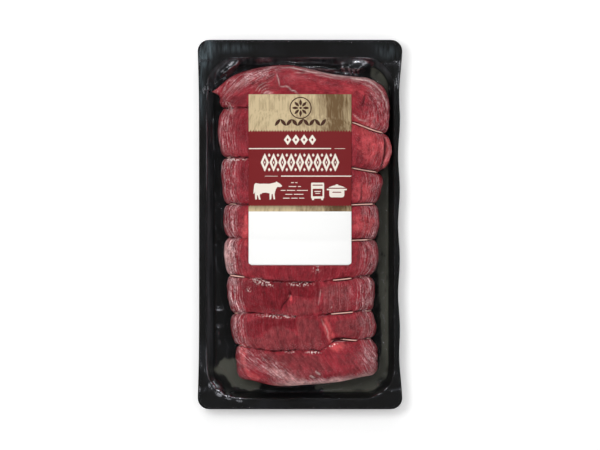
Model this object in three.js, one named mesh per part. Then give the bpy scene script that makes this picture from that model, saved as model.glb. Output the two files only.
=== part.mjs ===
// A vacuum skin pack with a tied roast beef joint: black tray, one beef joint tied with seven
// loops of twine, the clear skin film drawn down over both, and the paper label on the film.
// Millimetres. The pack lies flat: +Z is up, +Y runs to the top end of the label, +X to its right.
// The origin is the centre of the pack's outline, on the surface that the pack lies on.
import * as THREE from "three";

// ---------------------------------------------------------------- driving dimensions

const PACK = { width: 180, length: 325, depth: 24, sheet: 0.8, cornerRadius: 10 };
const FLANGE_PULL = { left: 1.2, right: 3.6 }; // how far the film's shrinkage draws each long edge in
const FLANGE_WAVE = { share: 0.2, count: 2.5 }; // unevenness of that pull along the edge
const RIM = { left: -82, right: 82.5, bottom: -153, top: 147, radius: 26 }; // where the flange meets the wall
const FOOT = { left: -76, right: 78, bottom: -148, top: 140, radius: 22 }; // where the wall meets the floor
const FLOOR_FILLET = 2.4;
const SPINE = 92; // half the length over which the surfaces run straight across the pack

const CLEARANCE = 0.3; // air between pieces that touch
const SLOPE_ROOM = 0.05; // extra air beside steep walls
// The film comes down this far out from the joint, and lies on the wall for at least the ledge. It
// stands a little further off the sharp edges of the joint's ends.
const FILM = { thickness: 0.25, tent: 5, ledge: 2, endRoom: 0.8, endRows: 3 };
const TWINE = { radius: 0.75, sides: 5 };
const LABEL = { left: -45, right: 45, bottom: -35.5, top: 114, cornerRadius: 2.5, thickness: 0.35 };
const LABEL_DIP = 0.8; // how far the label sinks in over a tie

// The joint is a row of lobes between tie lines. Each line gives y at even steps across the joint
// from left to right, and x where the girth is pulled in to. The first and the last line are the
// joint's two ends.
const LINES = [
  { across: [-136.4, -142, -141, -138.6, -133.3], left: -54.5, right: 68.5 },
  { across: [-106, -110.4, -110, -100.8, -100], left: -54, right: 62.5 },
  { across: [-77.9, -78.4, -80.5, -77.9, -75.7], left: -58, right: 63 },
  { across: [-44.4, -48.8, -50.2, -48.6, -45.3], left: -62, right: 62 },
  { across: [-11.4, -14, -15, -14.5, -13.2], left: -62.5, right: 64 },
  { across: [18, 16.8, 16.8, 16.8, 18], left: -63, right: 65.5 },
  { across: [59, 58.5, 55.5, 51, 45.8], left: -64.5, right: 69 },
  { across: [102.5, 101.5, 97, 91.5, 80], left: -66, right: 74 },
  { across: [117.2, 130, 136.2, 139.2, 140.8, 138.8, 135.2, 132.8, 130.8], left: -79.3, right: 77.8 },
];
// Each lobe's girth at its fullest, left and right, and the height of its crown.
const LOBES = [
  { left: -56, right: 68.8, crown: 46 },
  { left: -60.2, right: 66.4, crown: 50 },
  { left: -63.8, right: 65.8, crown: 52.5 },
  { left: -66.4, right: 69, crown: 54 },
  { left: -67.2, right: 69.2, crown: 54.5 },
  { left: -68.8, right: 72, crown: 54 },
  { left: -71.6, right: 79.4, crown: 52 },
  { left: -72, right: 78.6, crown: 47 },
];
const GIRTH_HEIGHT = 23; // height at which the joint is widest
const TIE_BITE = { top: 4.6, under: 2.7 }; // how deep the twine pulls in
const END_ROUNDING = 18; // length over which an end falls away
const SHOULDERS = { bottomLeft: 8, bottomRight: 9.5, topLeft: 3, topRight: 24 }; // plan radii of the ends
const FULLNESS = { top: 2.4, under: 3.4, end: 2.3, lobe: 4 }; // superellipse exponents, 2 is round

// Where the surfaces are sampled, in lobes from each end and in shares of each middle lobe.
const COLUMNS = 18;
const END_ROWS = [0, 0.025, 0.09, 0.2, 0.45, 0.78, 0.965];
const LOBE_ROWS = [0.035, 0.16, 0.5, 0.84, 0.965];
const GROOVE_FLOOR = 0.93; // share of a half lobe beyond which the groove is at its full depth
const SIDE_SPOKES = 16;
const CORNER_SPOKES = [0, 6, 12, 17, 21, 25, 30, 34, 36.5, 39, 42, 46, 53, 61, 71, 81, 90]; // degrees
const LABEL_CELLS = { across: 10, along: 18 };

// ---------------------------------------------------------------- closed shells

// A surface is { points, triangles }. The shell adds the same surface at the points in under,
// turned over, and a wall along every edge that only one triangle uses.
function closedShell({ points, triangles }, under) {
  const index = triangles.flat();
  const count = points.length;
  for (const [a, b, c] of triangles) index.push(a + count, c + count, b + count);
  const used = new Set(triangles.flatMap(([a, b, c]) => [`${a},${b}`, `${b},${c}`, `${c},${a}`]));
  for (const edge of used) {
    const [a, b] = edge.split(",").map(Number);
    if (!used.has(`${b},${a}`)) index.push(a, a + count, b + count, a, b + count, b);
  }
  return solidFrom([...points, ...under], index);
}

function solidFrom(points, index) {
  const geometry = new THREE.BufferGeometry().setFromPoints(points);
  geometry.setIndex(index);
  geometry.computeVertexNormals();
  return geometry;
}

function quad(triangles, a, b, c, d) {
  triangles.push([a, b, c], [a, c, d]);
}

// Rows of indices, joined cell by cell. The rows hold patches this many cells wide, and the
// cells' diagonals run in from each patch's corners.
function grid(triangles, rows, width = rows[0].length - 1) {
  for (let j = 0; j + 1 < rows.length; j++)
    for (let i = 0; i + 1 < rows[j].length; i++) {
      const cell = [rows[j][i], rows[j][i + 1], rows[j + 1][i + 1], rows[j + 1][i]];
      const inFirstHalf = 2 * (i % width) < width;
      const inUpperHalf = 2 * j + 1 > rows.length - 1;
      if (inFirstHalf === inUpperHalf) cell.push(cell.shift());
      quad(triangles, ...cell);
    }
}

// ---------------------------------------------------------------- spokes

// Spokes run from the pack's middle line out to its edge. They go straight across along most of
// its length and fan out round a point of the middle line near each end.
function spokeThrough({ x, y }) {
  const start = THREE.MathUtils.clamp(y, -SPINE, SPINE);
  return { start, ray: new THREE.Vector2(x, y - start).normalize() };
}

function alongSpoke({ start, ray }, reach, z) {
  return new THREE.Vector3(ray.x * reach, start + ray.y * reach, z);
}

// How far round the pack a spoke comes, anticlockwise from the bottom of the right side, and the
// whole way round.
const LAP = 4 * SPINE + Math.PI * PACK.width;
function placeOf({ start, ray }) {
  const turn = (Math.atan2(ray.y, ray.x) + 2 * Math.PI) % (2 * Math.PI);
  const onEnd = ray.y > 0 ? 2 * SPINE : 4 * SPINE;
  const onSide = ray.x > 0 ? SPINE + start : 3 * SPINE - start;
  return (turn * PACK.width) / 2 + (ray.y === 0 ? onSide : onEnd);
}

// How far along the spoke a rounded rectangle's edge lies.
function reachToRoundedRectangle({ start, ray }, { left, right, bottom, top, radius }) {
  const reachX = ray.x === 0 ? Infinity : (ray.x > 0 ? right : left) / ray.x;
  const reachY = ray.y === 0 ? Infinity : ((ray.y > 0 ? top : bottom) - start) / ray.y;
  const reach = Math.min(reachX, reachY);
  const centre = new THREE.Vector2(
    ray.x > 0 ? right - radius : left + radius,
    (ray.y > 0 ? top - radius : bottom + radius) - start,
  );
  const inCorner = (ray.x * reach - centre.x) * ray.x > 0 && (ray.y * reach - centre.y) * ray.y > 0;
  if (!inCorner) return reach;
  const along = ray.dot(centre);
  return along + Math.sqrt(along ** 2 - centre.lengthSq() + radius ** 2);
}

// How far along the spoke a closed outline lies.
function reachToOutline({ start, ray }, outline) {
  const reaches = outline.map((from, i) => {
    const edge = outline[(i + 1) % outline.length].clone().sub(from);
    const [x, y] = [from.x, from.y - start];
    const facing = ray.x * edge.y - ray.y * edge.x;
    const share = (x * ray.y - y * ray.x) / facing;
    return share >= 0 && share <= 1 ? (x * edge.y - y * edge.x) / facing : 0;
  });
  return Math.max(...reaches);
}

// Joins two loops round the pack, each a list of { index, place } in rising order of place. Each
// step goes on along the loop that leaves the two nearer to each other.
function zip(triangles, inner, outer) {
  const lap = (loop, i) => (i < loop.length ? loop[i].place : loop[0].place + LAP);
  const indexAt = (loop, i) => loop[i % loop.length].index;
  let [i, j] = [0, 0];
  while (i < inner.length || j < outer.length) {
    const byInner = i < inner.length ? Math.abs(lap(inner, i + 1) - lap(outer, j)) : Infinity;
    const byOuter = j < outer.length ? Math.abs(lap(outer, j + 1) - lap(inner, i)) : Infinity;
    const [a, b] = [indexAt(inner, i), indexAt(outer, j)];
    triangles.push([a, b, byInner < byOuter ? indexAt(inner, i + 1) : indexAt(outer, j + 1)]);
    if (byInner < byOuter) i++;
    else j++;
  }
}

// ---------------------------------------------------------------- tray

const cornerTurns = CORNER_SPOKES.map((degrees) => THREE.MathUtils.degToRad(degrees));
const spokes = [
  ...Array.from({ length: SIDE_SPOKES - 1 }, (_, i) => {
    const y = SPINE * ((2 * (i + 1)) / SIDE_SPOKES - 1);
    return [new THREE.Vector2(1, y), new THREE.Vector2(-1, y)];
  }).flat(),
  ...cornerTurns.flatMap((turn) =>
    [1, -1].flatMap((x) =>
      [1, -1].map((y) => new THREE.Vector2(x * Math.cos(turn), y * (SPINE + Math.sin(turn)))),
    ),
  ),
]
  .map(spokeThrough)
  .map((spoke) => ({ ...spoke, place: placeOf(spoke) }))
  .sort((a, b) => a.place - b.place)
  .filter((spoke, i, all) => i === 0 || spoke.place - all[i - 1].place > CLEARANCE);

function inset(rectangle, by) {
  const { left, right, bottom, top, radius } = rectangle;
  return { left: left + by, right: right - by, bottom: bottom + by, top: top - by, radius: radius - by };
}

// How far along the spoke the flange ends, with its long sides drawn in between the corners.
function reachToPackEdge(spoke, by) {
  const half = { x: PACK.width / 2, y: PACK.length / 2 };
  const outline = { left: -half.x, right: half.x, bottom: -half.y, top: half.y, radius: PACK.cornerRadius };
  const reach = reachToRoundedRectangle(spoke, inset(outline, by));
  const along = (spoke.start + spoke.ray.y * reach) / (half.y - PACK.cornerRadius);
  const onSide = Math.max(0, Math.abs(spoke.ray.x * reach) - half.x + PACK.cornerRadius) / PACK.cornerRadius;
  const bow = onSide ** 2 * Math.max(0, 1 - Math.abs(along) ** 6);
  const wave = 1 - FLANGE_WAVE.share * (1 - Math.cos(2 * Math.PI * FLANGE_WAVE.count * along));
  return reach - (spoke.ray.x < 0 ? FLANGE_PULL.left : FLANGE_PULL.right * wave) * bow;
}

// The tray's section along a spoke, from the floor's edge out to the flange's edge, as reach and
// height. The film lies on it, this much higher.
function traySection(spoke, lift) {
  const side = lift > 0 ? lift + SLOPE_ROOM : 0;
  return [
    { reach: reachToRoundedRectangle(spoke, inset(FOOT, FLOOR_FILLET + side)), z: PACK.sheet + lift },
    { reach: reachToRoundedRectangle(spoke, inset(FOOT, side)), z: PACK.sheet + FLOOR_FILLET + lift },
    { reach: reachToRoundedRectangle(spoke, inset(RIM, side)), z: PACK.depth + lift },
    { reach: reachToPackEdge(spoke, 2 * lift), z: PACK.depth + lift },
  ];
}

// The same section on the tray's outside, a sheet's thickness away.
function trayUnderSection(spoke) {
  const [floor, foot, rim, edge] = traySection(spoke, 0);
  return [
    { reach: floor.reach, z: 0 },
    { reach: foot.reach + PACK.sheet, z: foot.z - PACK.sheet / 3 },
    { reach: rim.reach + PACK.sheet, z: rim.z - PACK.sheet },
    { reach: edge.reach, z: edge.z - PACK.sheet },
  ];
}

// The sections side by side round the pack, after this many points that come before them.
function sectionStrips(triangles, before, steps) {
  const strips = spokes.map((_, i) => Array.from({ length: steps }, (_, step) => before + i * steps + step));
  strips.forEach((strip, i) => {
    const next = strips[(i + 1) % strips.length];
    for (let step = 0; step + 1 < steps; step++)
      quad(triangles, strip[step], strip[step + 1], next[step + 1], next[step]);
  });
  return strips;
}

function trayGeometry() {
  const collect = (section, centreHeight) => [
    new THREE.Vector3(0, 0, centreHeight),
    ...spokes.flatMap((spoke) => section(spoke).map(({ reach, z }) => alongSpoke(spoke, reach, z))),
  ];
  const points = collect((spoke) => traySection(spoke, 0), PACK.sheet);
  const triangles = [];
  const strips = sectionStrips(triangles, 1, (points.length - 1) / spokes.length);
  strips.forEach((strip, i) => triangles.push([0, strip[0], strips[(i + 1) % strips.length][0]]));
  return closedShell({ points, triangles }, collect(trayUnderSection, 0));
}

// ---------------------------------------------------------------- beef joint

// A smooth curve through values one step apart, read at a position in steps.
function curveThrough(values) {
  const curve = new THREE.SplineCurve(values.map((value, i) => new THREE.Vector2(i, value)));
  return (position) => curve.getPoint(THREE.MathUtils.clamp(position / (values.length - 1), 0, 1)).y;
}

const lineCurves = LINES.map(({ across }) => curveThrough(across));
const lineSteps = LINES.map(({ across }) => across.length - 1);
const pulledLeft = curveThrough(LINES.map(({ left }) => left));
const pulledRight = curveThrough(LINES.map(({ right }) => right));
const fullLeft = curveThrough(LOBES.map(({ left }) => left));
const fullRight = curveThrough(LOBES.map(({ right }) => right));
const fullCrown = curveThrough(LOBES.map(({ crown }) => crown));

// Where line number line crosses the joint, u running from -1 at the left to 1 at the right.
const lineY = (line, u) => lineCurves[line]((lineSteps[line] * (u + 1)) / 2);

const superCircle = (x, power) => Math.max(0, 1 - Math.abs(x) ** power) ** (1 / power);

// Places along the joint are counted in lobes from its bottom end, so the lines are at whole
// numbers. The share runs from 0 on a lobe's fullest part to 1 at its lines.
function nearLine(t) {
  return Math.min(1, (2 * Math.abs(t - Math.floor(t) - 0.5)) / GROOVE_FLOOR) ** FULLNESS.lobe;
}

const isTie = (line) => line > 0 && line < LOBES.length;
const nearTie = (t) => (isTie(Math.round(t)) ? nearLine(t) : 0);

// How far an end's rounded shoulder is drawn in, at this distance from the end.
function shoulder(radius, distance) {
  return distance < radius ? radius - Math.sqrt(radius ** 2 - (radius - distance) ** 2) : 0;
}

// A point of the joint's skin. theta runs from 0 at the left girth over the top to pi at the
// right, and on to 2 pi underneath. Where it isn't grooved, the ties don't pull in.
function jointPoint(theta, t, grooved = true) {
  const u = -Math.cos(theta);
  const over = theta <= Math.PI;
  const lobe = Math.min(Math.floor(t), LOBES.length - 1);
  const y = THREE.MathUtils.lerp(lineY(lobe, u), lineY(lobe + 1, u), t - lobe);
  const toBottom = y - lineY(0, u);
  const toTop = lineY(LOBES.length, u) - y;
  const atTop = toTop < toBottom;
  const toEnd = Math.max(0, Math.min(toBottom, toTop));
  const pull = grooved || !isTie(Math.round(t)) ? nearLine(t) : 0;
  const left = THREE.MathUtils.lerp(fullLeft(t - 0.5), pulledLeft(t), pull);
  const right = THREE.MathUtils.lerp(fullRight(t - 0.5), pulledRight(t), pull);
  const x0 = left + shoulder(atTop ? SHOULDERS.topLeft : SHOULDERS.bottomLeft, toEnd);
  const x1 = right - shoulder(atTop ? SHOULDERS.topRight : SHOULDERS.bottomRight, toEnd);
  const bite = grooved ? nearTie(t) : 0;
  const crown = fullCrown(t - 0.5) - TIE_BITE.top * bite;
  const under = PACK.sheet + CLEARANCE + TIE_BITE.under * bite;
  const end = superCircle(Math.max(0, 1 - toEnd / END_ROUNDING), FULLNESS.end);
  const share = superCircle(u, over ? FULLNESS.top : FULLNESS.under) * end;
  return new THREE.Vector3(
    THREE.MathUtils.lerp(x0, x1, (u + 1) / 2),
    y,
    THREE.MathUtils.lerp(GIRTH_HEIGHT, over ? crown : under, share),
  );
}

// The outward direction there, measured over a small span of the joint without its grooves.
function jointNormal(theta, t) {
  const span = 0.02;
  const range = theta <= Math.PI ? [0, Math.PI] : [Math.PI, 2 * Math.PI];
  const turned = (by) => jointPoint(THREE.MathUtils.clamp(theta + by, ...range), t, false);
  const moved = (by) => jointPoint(theta, THREE.MathUtils.clamp(t + by, 0, LOBES.length), false);
  const round = turned(span).sub(turned(-span));
  const along = moved(span).sub(moved(-span));
  return round.cross(along).normalize();
}

const rows = [
  ...END_ROWS,
  ...LOBES.slice(1, -1).flatMap((_, i) => LOBE_ROWS.map((share) => i + 1 + share)),
  ...END_ROWS.map((share) => LOBES.length - share).reverse(),
];
const lastRow = rows.length - 1;
const thetaOf = (column) => (Math.PI * column) / COLUMNS;

function beefJointGeometry() {
  const around = 2 * COLUMNS;
  const known = new Map();
  const points = [];
  const indexOf = (row, column) => {
    const atEnd = row === 0 || row === lastRow;
    const wrapped = column % around;
    const folded = atEnd ? Math.min(wrapped, around - wrapped) : wrapped;
    const key = row * around + folded;
    if (!known.has(key)) {
      known.set(key, points.length);
      points.push(jointPoint(thetaOf(folded), rows[row]));
    }
    return known.get(key);
  };
  const triangles = [];
  const ring = Array.from({ length: around + 1 }, (_, column) => column);
  const rings = rows.map((_, row) => ring.map((column) => indexOf(row, column)));
  grid(triangles, rings, COLUMNS);
  return solidFrom(points, triangles.flat());
}

// ---------------------------------------------------------------- twine

// One tie's centre line, round the bottom of its groove. Its steps are the joint's own columns.
class TieCurve extends THREE.Curve {
  constructor(line) {
    super();
    this.line = line;
  }
  getPoint(share) {
    const theta = 2 * Math.PI * (share % 1);
    const out = jointNormal(theta, this.line).setY(0).normalize();
    return jointPoint(theta, this.line).addScaledVector(out, CLEARANCE + 2 * SLOPE_ROOM + TWINE.radius);
  }
  getPointAt(share) {
    return this.getPoint(share);
  }
  getTangentAt(share) {
    const step = 1 / (8 * COLUMNS);
    return this.getPoint(share + step).sub(this.getPoint(share + 1 - step)).normalize();
  }
}

function twineGeometry(line) {
  return new THREE.TubeGeometry(new TieCurve(line), 2 * COLUMNS, TWINE.radius, TWINE.sides, true);
}

// ---------------------------------------------------------------- skin film

// A point of the film over the joint, this much above the film's underside. Over a tie the film
// bridges the twine.
function filmOnJoint(row, column, above) {
  const [t, theta] = [rows[row], thetaOf(column)];
  const atCorner = (row === 0 || row === lastRow) && (column === 0 || column === COLUMNS);
  const out = atCorner
    ? new THREE.Vector3(column ? 1 : -1, row ? 1 : -1, 0).normalize()
    : jointNormal(theta, t);
  const nearEnd = Math.min(row, lastRow - row) < FILM.endRows;
  const room = nearEnd ? FILM.endRoom : CLEARANCE + SLOPE_ROOM;
  const overTwine = (CLEARANCE + 2 * SLOPE_ROOM + 2 * TWINE.radius) * nearTie(t);
  return jointPoint(theta, t).addScaledVector(out, room + overTwine + above);
}

// The edge of the film's part on the joint, anticlockwise, as row and column.
const patchEdge = [
  ...Array.from({ length: COLUMNS }, (_, i) => [0, i]),
  ...Array.from({ length: lastRow }, (_, i) => [i, COLUMNS]),
  ...Array.from({ length: COLUMNS }, (_, i) => [lastRow, COLUMNS - i]),
  ...Array.from({ length: lastRow }, (_, i) => [lastRow - i, 0]),
];
const girthOutline = patchEdge.map(([row, column]) => jointPoint(thetaOf(column), rows[row], false));

// The height of a section at a reach along it.
function heightAt(section, reach) {
  const next = section.findIndex((corner) => corner.reach > reach);
  if (next === 0) return section[0].z;
  const [from, to] = [section[next - 1], section[next]];
  return THREE.MathUtils.mapLinear(reach, from.reach, to.reach, from.z, to.z);
}

// The film off the joint, along a spoke. It comes down on the floor, or on the wall where the
// joint is close to it, and lies on the tray from there out to its edge.
function filmOffJoint(spoke, above) {
  const section = traySection(spoke, CLEARANCE + above);
  const [floor, foot, rim, edge] = section;
  const landing = Math.min(spoke.girth + FILM.tent, rim.reach - FILM.ledge) + above;
  const second = Math.max(floor.reach, THREE.MathUtils.lerp(landing, rim.reach, 1 / 3));
  const third = Math.max(foot.reach, THREE.MathUtils.lerp(landing, rim.reach, 2 / 3));
  const onTray = [landing, second, third].map((reach) => alongSpoke(spoke, reach, heightAt(section, reach)));
  return [...onTray, alongSpoke(spoke, rim.reach, rim.z), alongSpoke(spoke, edge.reach, edge.z)];
}

function filmSurface(above) {
  const columns = COLUMNS + 1;
  const points = rows.flatMap((_, row) =>
    Array.from({ length: columns }, (_, column) => filmOnJoint(row, column, above)),
  );
  const triangles = [];
  grid(
    triangles,
    rows.map((_, row) => Array.from({ length: columns }, (_, column) => row * columns + column)),
  );
  const inner = patchEdge.map(([row, column]) => {
    const index = row * columns + column;
    return { index, place: placeOf(spokeThrough(filmOnJoint(row, column, 0))) };
  });
  inner.sort((a, b) => a.place - b.place);
  const girths = spokes.map((spoke) => ({ ...spoke, girth: reachToOutline(spoke, girthOutline) }));
  const off = girths.map((spoke) => filmOffJoint(spoke, above));
  const strips = sectionStrips(triangles, points.length, off[0].length);
  points.push(...off.flat());
  zip(
    triangles,
    inner,
    strips.map((strip, i) => ({ index: strip[0], place: spokes[i].place })),
  );
  return { points, triangles };
}

function skinFilmGeometry() {
  return closedShell(filmSurface(FILM.thickness), filmSurface(0).points);
}

// ---------------------------------------------------------------- label

// The place on the joint under a point of the plan, found by closing in on it.
function placeUnder(x, y) {
  let [u, t] = [0, 0];
  for (let pass = 0; pass < 12; pass++) {
    const found = LOBES.findIndex((_, lobe) => y < lineY(lobe + 1, u));
    const lobe = found < 0 ? LOBES.length - 1 : found;
    t = lobe + (y - lineY(lobe, u)) / (lineY(lobe + 1, u) - lineY(lobe, u));
    const [x0, x1] = [jointPoint(0, t, false).x, jointPoint(Math.PI, t, false).x];
    u = (2 * (x - x0)) / (x1 - x0) - 1;
  }
  return { theta: Math.acos(-u), t };
}

// The label lies on the film's crowns and sinks in a little over the ties.
function labelHeight(x, y) {
  const { theta, t } = placeUnder(x, y);
  const film = CLEARANCE + SLOPE_ROOM + FILM.thickness;
  return jointPoint(theta, t, false).z + film + CLEARANCE + SLOPE_ROOM - LABEL_DIP * nearTie(t);
}

function labelSurface(above) {
  const { across, along } = LABEL_CELLS;
  const points = [];
  for (let j = 0; j <= along; j++)
    for (let i = 0; i <= across; i++) {
      const atCorner = (i === 0 || i === across) && j === 0;
      const cut = atCorner ? LABEL.cornerRadius * (1 - Math.SQRT1_2) : 0;
      const x = THREE.MathUtils.lerp(LABEL.left + cut, LABEL.right - cut, i / across);
      const y = THREE.MathUtils.lerp(LABEL.bottom + cut, LABEL.top, j / along);
      points.push(new THREE.Vector3(x, y, labelHeight(x, y) + above));
    }
  const triangles = [];
  const columns = across + 1;
  grid(
    triangles,
    Array.from({ length: along + 1 }, (_, j) => Array.from({ length: columns }, (_, i) => j * columns + i)),
  );
  return { points, triangles };
}

function labelGeometry() {
  return closedShell(labelSurface(LABEL.thickness), labelSurface(0).points);
}

// ---------------------------------------------------------------- the pack

function piece(name, geometry, finish) {
  const mesh = new THREE.Mesh(geometry, new THREE.MeshStandardMaterial(finish));
  mesh.name = name;
  return mesh;
}

const blackPlastic = { color: 0x262625, roughness: 0.35, metalness: 0 };
const rawBeef = { color: 0x8e3c44, roughness: 0.45, metalness: 0 };
const wetTwine = { color: 0xc98a80, roughness: 0.7, metalness: 0 };
const clearFilm = { color: 0xf4f6f6, roughness: 0.08, metalness: 0, transparent: true, opacity: 0.15 };
const labelPaper = { color: 0xe8e2d2, roughness: 0.6, metalness: 0 };

const pack = new THREE.Group();
pack.add(piece("tray", trayGeometry(), blackPlastic));
pack.add(piece("beef_joint", beefJointGeometry(), rawBeef));
LINES.forEach((_, line) => {
  if (isTie(line)) pack.add(piece(`twine_tie_${LOBES.length - line}`, twineGeometry(line), wetTwine));
});
pack.add(piece("skin_film", skinFilmGeometry(), clearFilm));
pack.add(piece("label", labelGeometry(), labelPaper));

export default pack;
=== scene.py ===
"""Dresses a vacuum skin pack that holds one tied roast beef joint.

A shallow black tray carries the joint, seven loops of twine pull it into eight lobes, a clear film
is drawn down over both, and a paper label lies on the film. Sizes here are millimetres unless a
property says otherwise; meshes are written in metres. +Y runs to the top end of the label.
"""
import functools

import bpy
import numpy as np
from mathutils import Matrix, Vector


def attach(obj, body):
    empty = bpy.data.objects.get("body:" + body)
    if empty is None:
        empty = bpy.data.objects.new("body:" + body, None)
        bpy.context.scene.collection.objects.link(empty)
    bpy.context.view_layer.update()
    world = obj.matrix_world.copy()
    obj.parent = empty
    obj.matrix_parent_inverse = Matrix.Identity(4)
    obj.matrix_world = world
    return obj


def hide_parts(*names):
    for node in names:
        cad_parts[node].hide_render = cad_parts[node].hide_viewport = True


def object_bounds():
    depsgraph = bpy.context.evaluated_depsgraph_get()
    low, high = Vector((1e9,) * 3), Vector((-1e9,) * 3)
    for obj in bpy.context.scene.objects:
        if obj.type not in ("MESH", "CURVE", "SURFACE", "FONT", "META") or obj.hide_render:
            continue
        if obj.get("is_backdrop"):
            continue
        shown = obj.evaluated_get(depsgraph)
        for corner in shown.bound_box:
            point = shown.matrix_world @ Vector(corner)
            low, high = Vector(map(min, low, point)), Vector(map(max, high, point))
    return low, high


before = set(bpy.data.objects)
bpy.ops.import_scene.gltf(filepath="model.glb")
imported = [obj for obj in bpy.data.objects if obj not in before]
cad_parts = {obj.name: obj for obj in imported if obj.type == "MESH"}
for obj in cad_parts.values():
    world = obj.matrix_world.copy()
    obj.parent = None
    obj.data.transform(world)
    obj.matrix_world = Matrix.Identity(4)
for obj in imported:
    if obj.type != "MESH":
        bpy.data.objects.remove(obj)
CAD_BOX = [list(corner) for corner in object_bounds()]

bl_info = {
    "name": "Packed roast beef joint",
    "version": (1, 0, 0),
    "blender": (4, 5, 0),
    "location": "View3D > Sidebar > Roast pack",
    "description": "Builds the looks of a tied roast beef joint in a vacuum skin pack",
    "category": "Object",
}

MM = 0.001


def linear(colour):
    """The linear colour, with full alpha, of an sRGB hex colour."""
    shares = [int(colour[i : i + 2], 16) / 255 for i in (1, 3, 5)]
    return (*(s / 12.92 if s <= 0.04045 else ((s + 0.055) / 1.055) ** 2.4 for s in shares), 1.0)


# ---------------------------------------------------------------- the joint's named sizes

# The joint is a row of lobes between tie lines. Each line gives y at even steps across the joint
# from left to right, and x where the girth is pulled in to. The first and last are the two ends.
LINES = [
    {"across": [-136.4, -142, -141, -138.6, -133.3], "left": -54.5, "right": 68.5},
    {
        "across": [
            -106, -107.6, -108.8, -109.8, -110.4, -110.7, -110.7, -110.4, -110.2,
            -110, -110.2, -105.2, -101.2, -101.0, -101.6, -100.8, -100,
        ],
        "left": -54,
        "right": 62.5,
    },
    {"across": [-77.9, -78.4, -80.5, -77.9, -75.7], "left": -58, "right": 63},
    {"across": [-44.4, -48.8, -50.2, -48.6, -45.3], "left": -62, "right": 62},
    {"across": [-11.4, -14, -15, -14.5, -13.2], "left": -62.5, "right": 64},
    {"across": [18, 16.8, 16.8, 16.8, 18], "left": -63, "right": 65.5},
    {"across": [59, 58.5, 55.5, 51, 45.8], "left": -64.5, "right": 69},
    {"across": [102.5, 101.5, 97, 91.5, 80], "left": -66, "right": 74},
    {
        "across": [117.2, 130, 136.2, 139.2, 140.2, 137.4, 133.4, 131.0, 129.6],
        "left": -79.3,
        "right": 77.8,
    },
]
# Each lobe's girth at its fullest, left and right, and the height of its crown.
LOBES = [
    {"left": -56, "right": 68.8, "crown": 46},
    {"left": -60.2, "right": 66.4, "crown": 50},
    {"left": -63.8, "right": 65.8, "crown": 52.5},
    {"left": -66.4, "right": 69, "crown": 54},
    {"left": -67.2, "right": 69.2, "crown": 54.5},
    {"left": -68.8, "right": 72, "crown": 54},
    {"left": -71.6, "right": 79.4, "crown": 52},
    {"left": -70.5, "right": 78.6, "crown": 47},
]
GIRTH_HEIGHT = 23
# The joint's half width and how far its middle lies right of the pack's, both in round numbers.
HALF_WIDTH = 68
OFF_MIDDLE = 3
TIE_BITE = {"top": 4.6, "under": 2.7}
END_ROUNDING = 18
OFF_TRAY = 0.3
SHOULDERS = {"bottom": {"left": 8, "right": 9.5}, "top": {"left": 3, "right": 24}}
FULLNESS = {"top": 2.4, "under": 3.4, "end": 2.3, "lobe": 4}
GROOVE_FLOOR = 0.93
UNEVEN = {"depth": 0.7, "pitch": 9}  # how far the girth strays in and out
NOTCH = {"reach": 2.6, "power": 1.25}  # the V that a tie cuts into the joint's outline
BOW = 0.4  # the share of that V's depth over which a whole lobe bows out
VALLEY = {"reach": 3.2, "power": 1.4}  # how far the meat dips towards a tie
CLEFT = {"reach": 0.6, "power": 2.0}  # the narrow cut over the twine
TWINE_OUT = 1.15  # from the groove's floor to the twine's middle
TWINE_RAISED = 0.8  # how much higher the twine lies where it shows
TWINE_SUNK = 1.9  # and how much deeper where the meat has closed over it

# The tray and the pack's outline, as the frame has them.
PACK = {"width": 180, "length": 325, "depth": 24, "sheet": 0.8, "corner": 10}
FLANGE_PULL = {"left": 1.2, "right": 3.6}
FLANGE_WAVE = {"share": 0.2, "count": 2.5}
RIM = {"left": -82, "right": 82.5, "bottom": -153, "top": 147, "radius": 26}
FOOT = {"left": -76.6, "right": 78.6, "bottom": -148.5, "top": 140.8, "radius": 22}
FOOT_BEND = 3.2  # how far the bends at the foot and the rim reach to both sides
RIM_BEND = 2
SPINE = 92  # half the length of the line that the pack's spokes start from
FLOOR_BAND = 26  # how far in from the foot the floor is meshed finely
FILM_TENT = 5  # how far from the joint's girth the film lands
FILM_LEDGE = 2  # and how far it stays from the rim
FILM_LIFT = 0.55  # how far the film stands off the tray
FILM_CLEARANCE = 0.6  # and off the highest of the meat's relief
CLING_FADE = [0.8, 0.5, 0.25, 0.1]  # how it lets go of the meat, ring by ring
SKIRT_ROWS = 33
TENT_STEPS = 14
TENT_CORNER = [0.22, 0.86]  # where its bend lies between girth and tray, as shares out and down
SEAM = {"width": 0.9, "height": 0.5, "crumpled": 0.8}
LABEL = {"left": -45, "right": 45, "bottom": -35.5, "top": 114, "corner": 2.5, "thickness": 0.35}
LABEL_LIFT = 0.92
LABEL_DIP = 0.8


# ---------------------------------------------------------------- curves, noise and meshes


def through(values, position):
    """A smooth curve through values one step apart, read at positions counted in steps."""
    v = np.asarray(values, float)
    last = len(v) - 1
    p = np.clip(position, 0, last)
    i = np.floor(p).astype(int)
    w = p - i
    a, b = v[np.maximum(i - 1, 0)], v[i]
    c, d = v[np.minimum(i + 1, last)], v[np.minimum(i + 2, last)]
    s, e = (c - a) / 2, (d - b) / 2
    return (2 * b - 2 * c + s + e) * w**3 + (3 * c - 3 * b - 2 * s - e) * w**2 + s * w + b


def lerp(a, b, share):
    return a + (b - a) * share


def smooth_step(low, high, value):
    s = np.clip((value - low) / (high - low), 0, 1)
    return s * s * (3 - 2 * s)


def super_circle(x, power):
    return np.maximum(0, 1 - np.abs(x) ** power) ** (1 / power)


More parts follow.
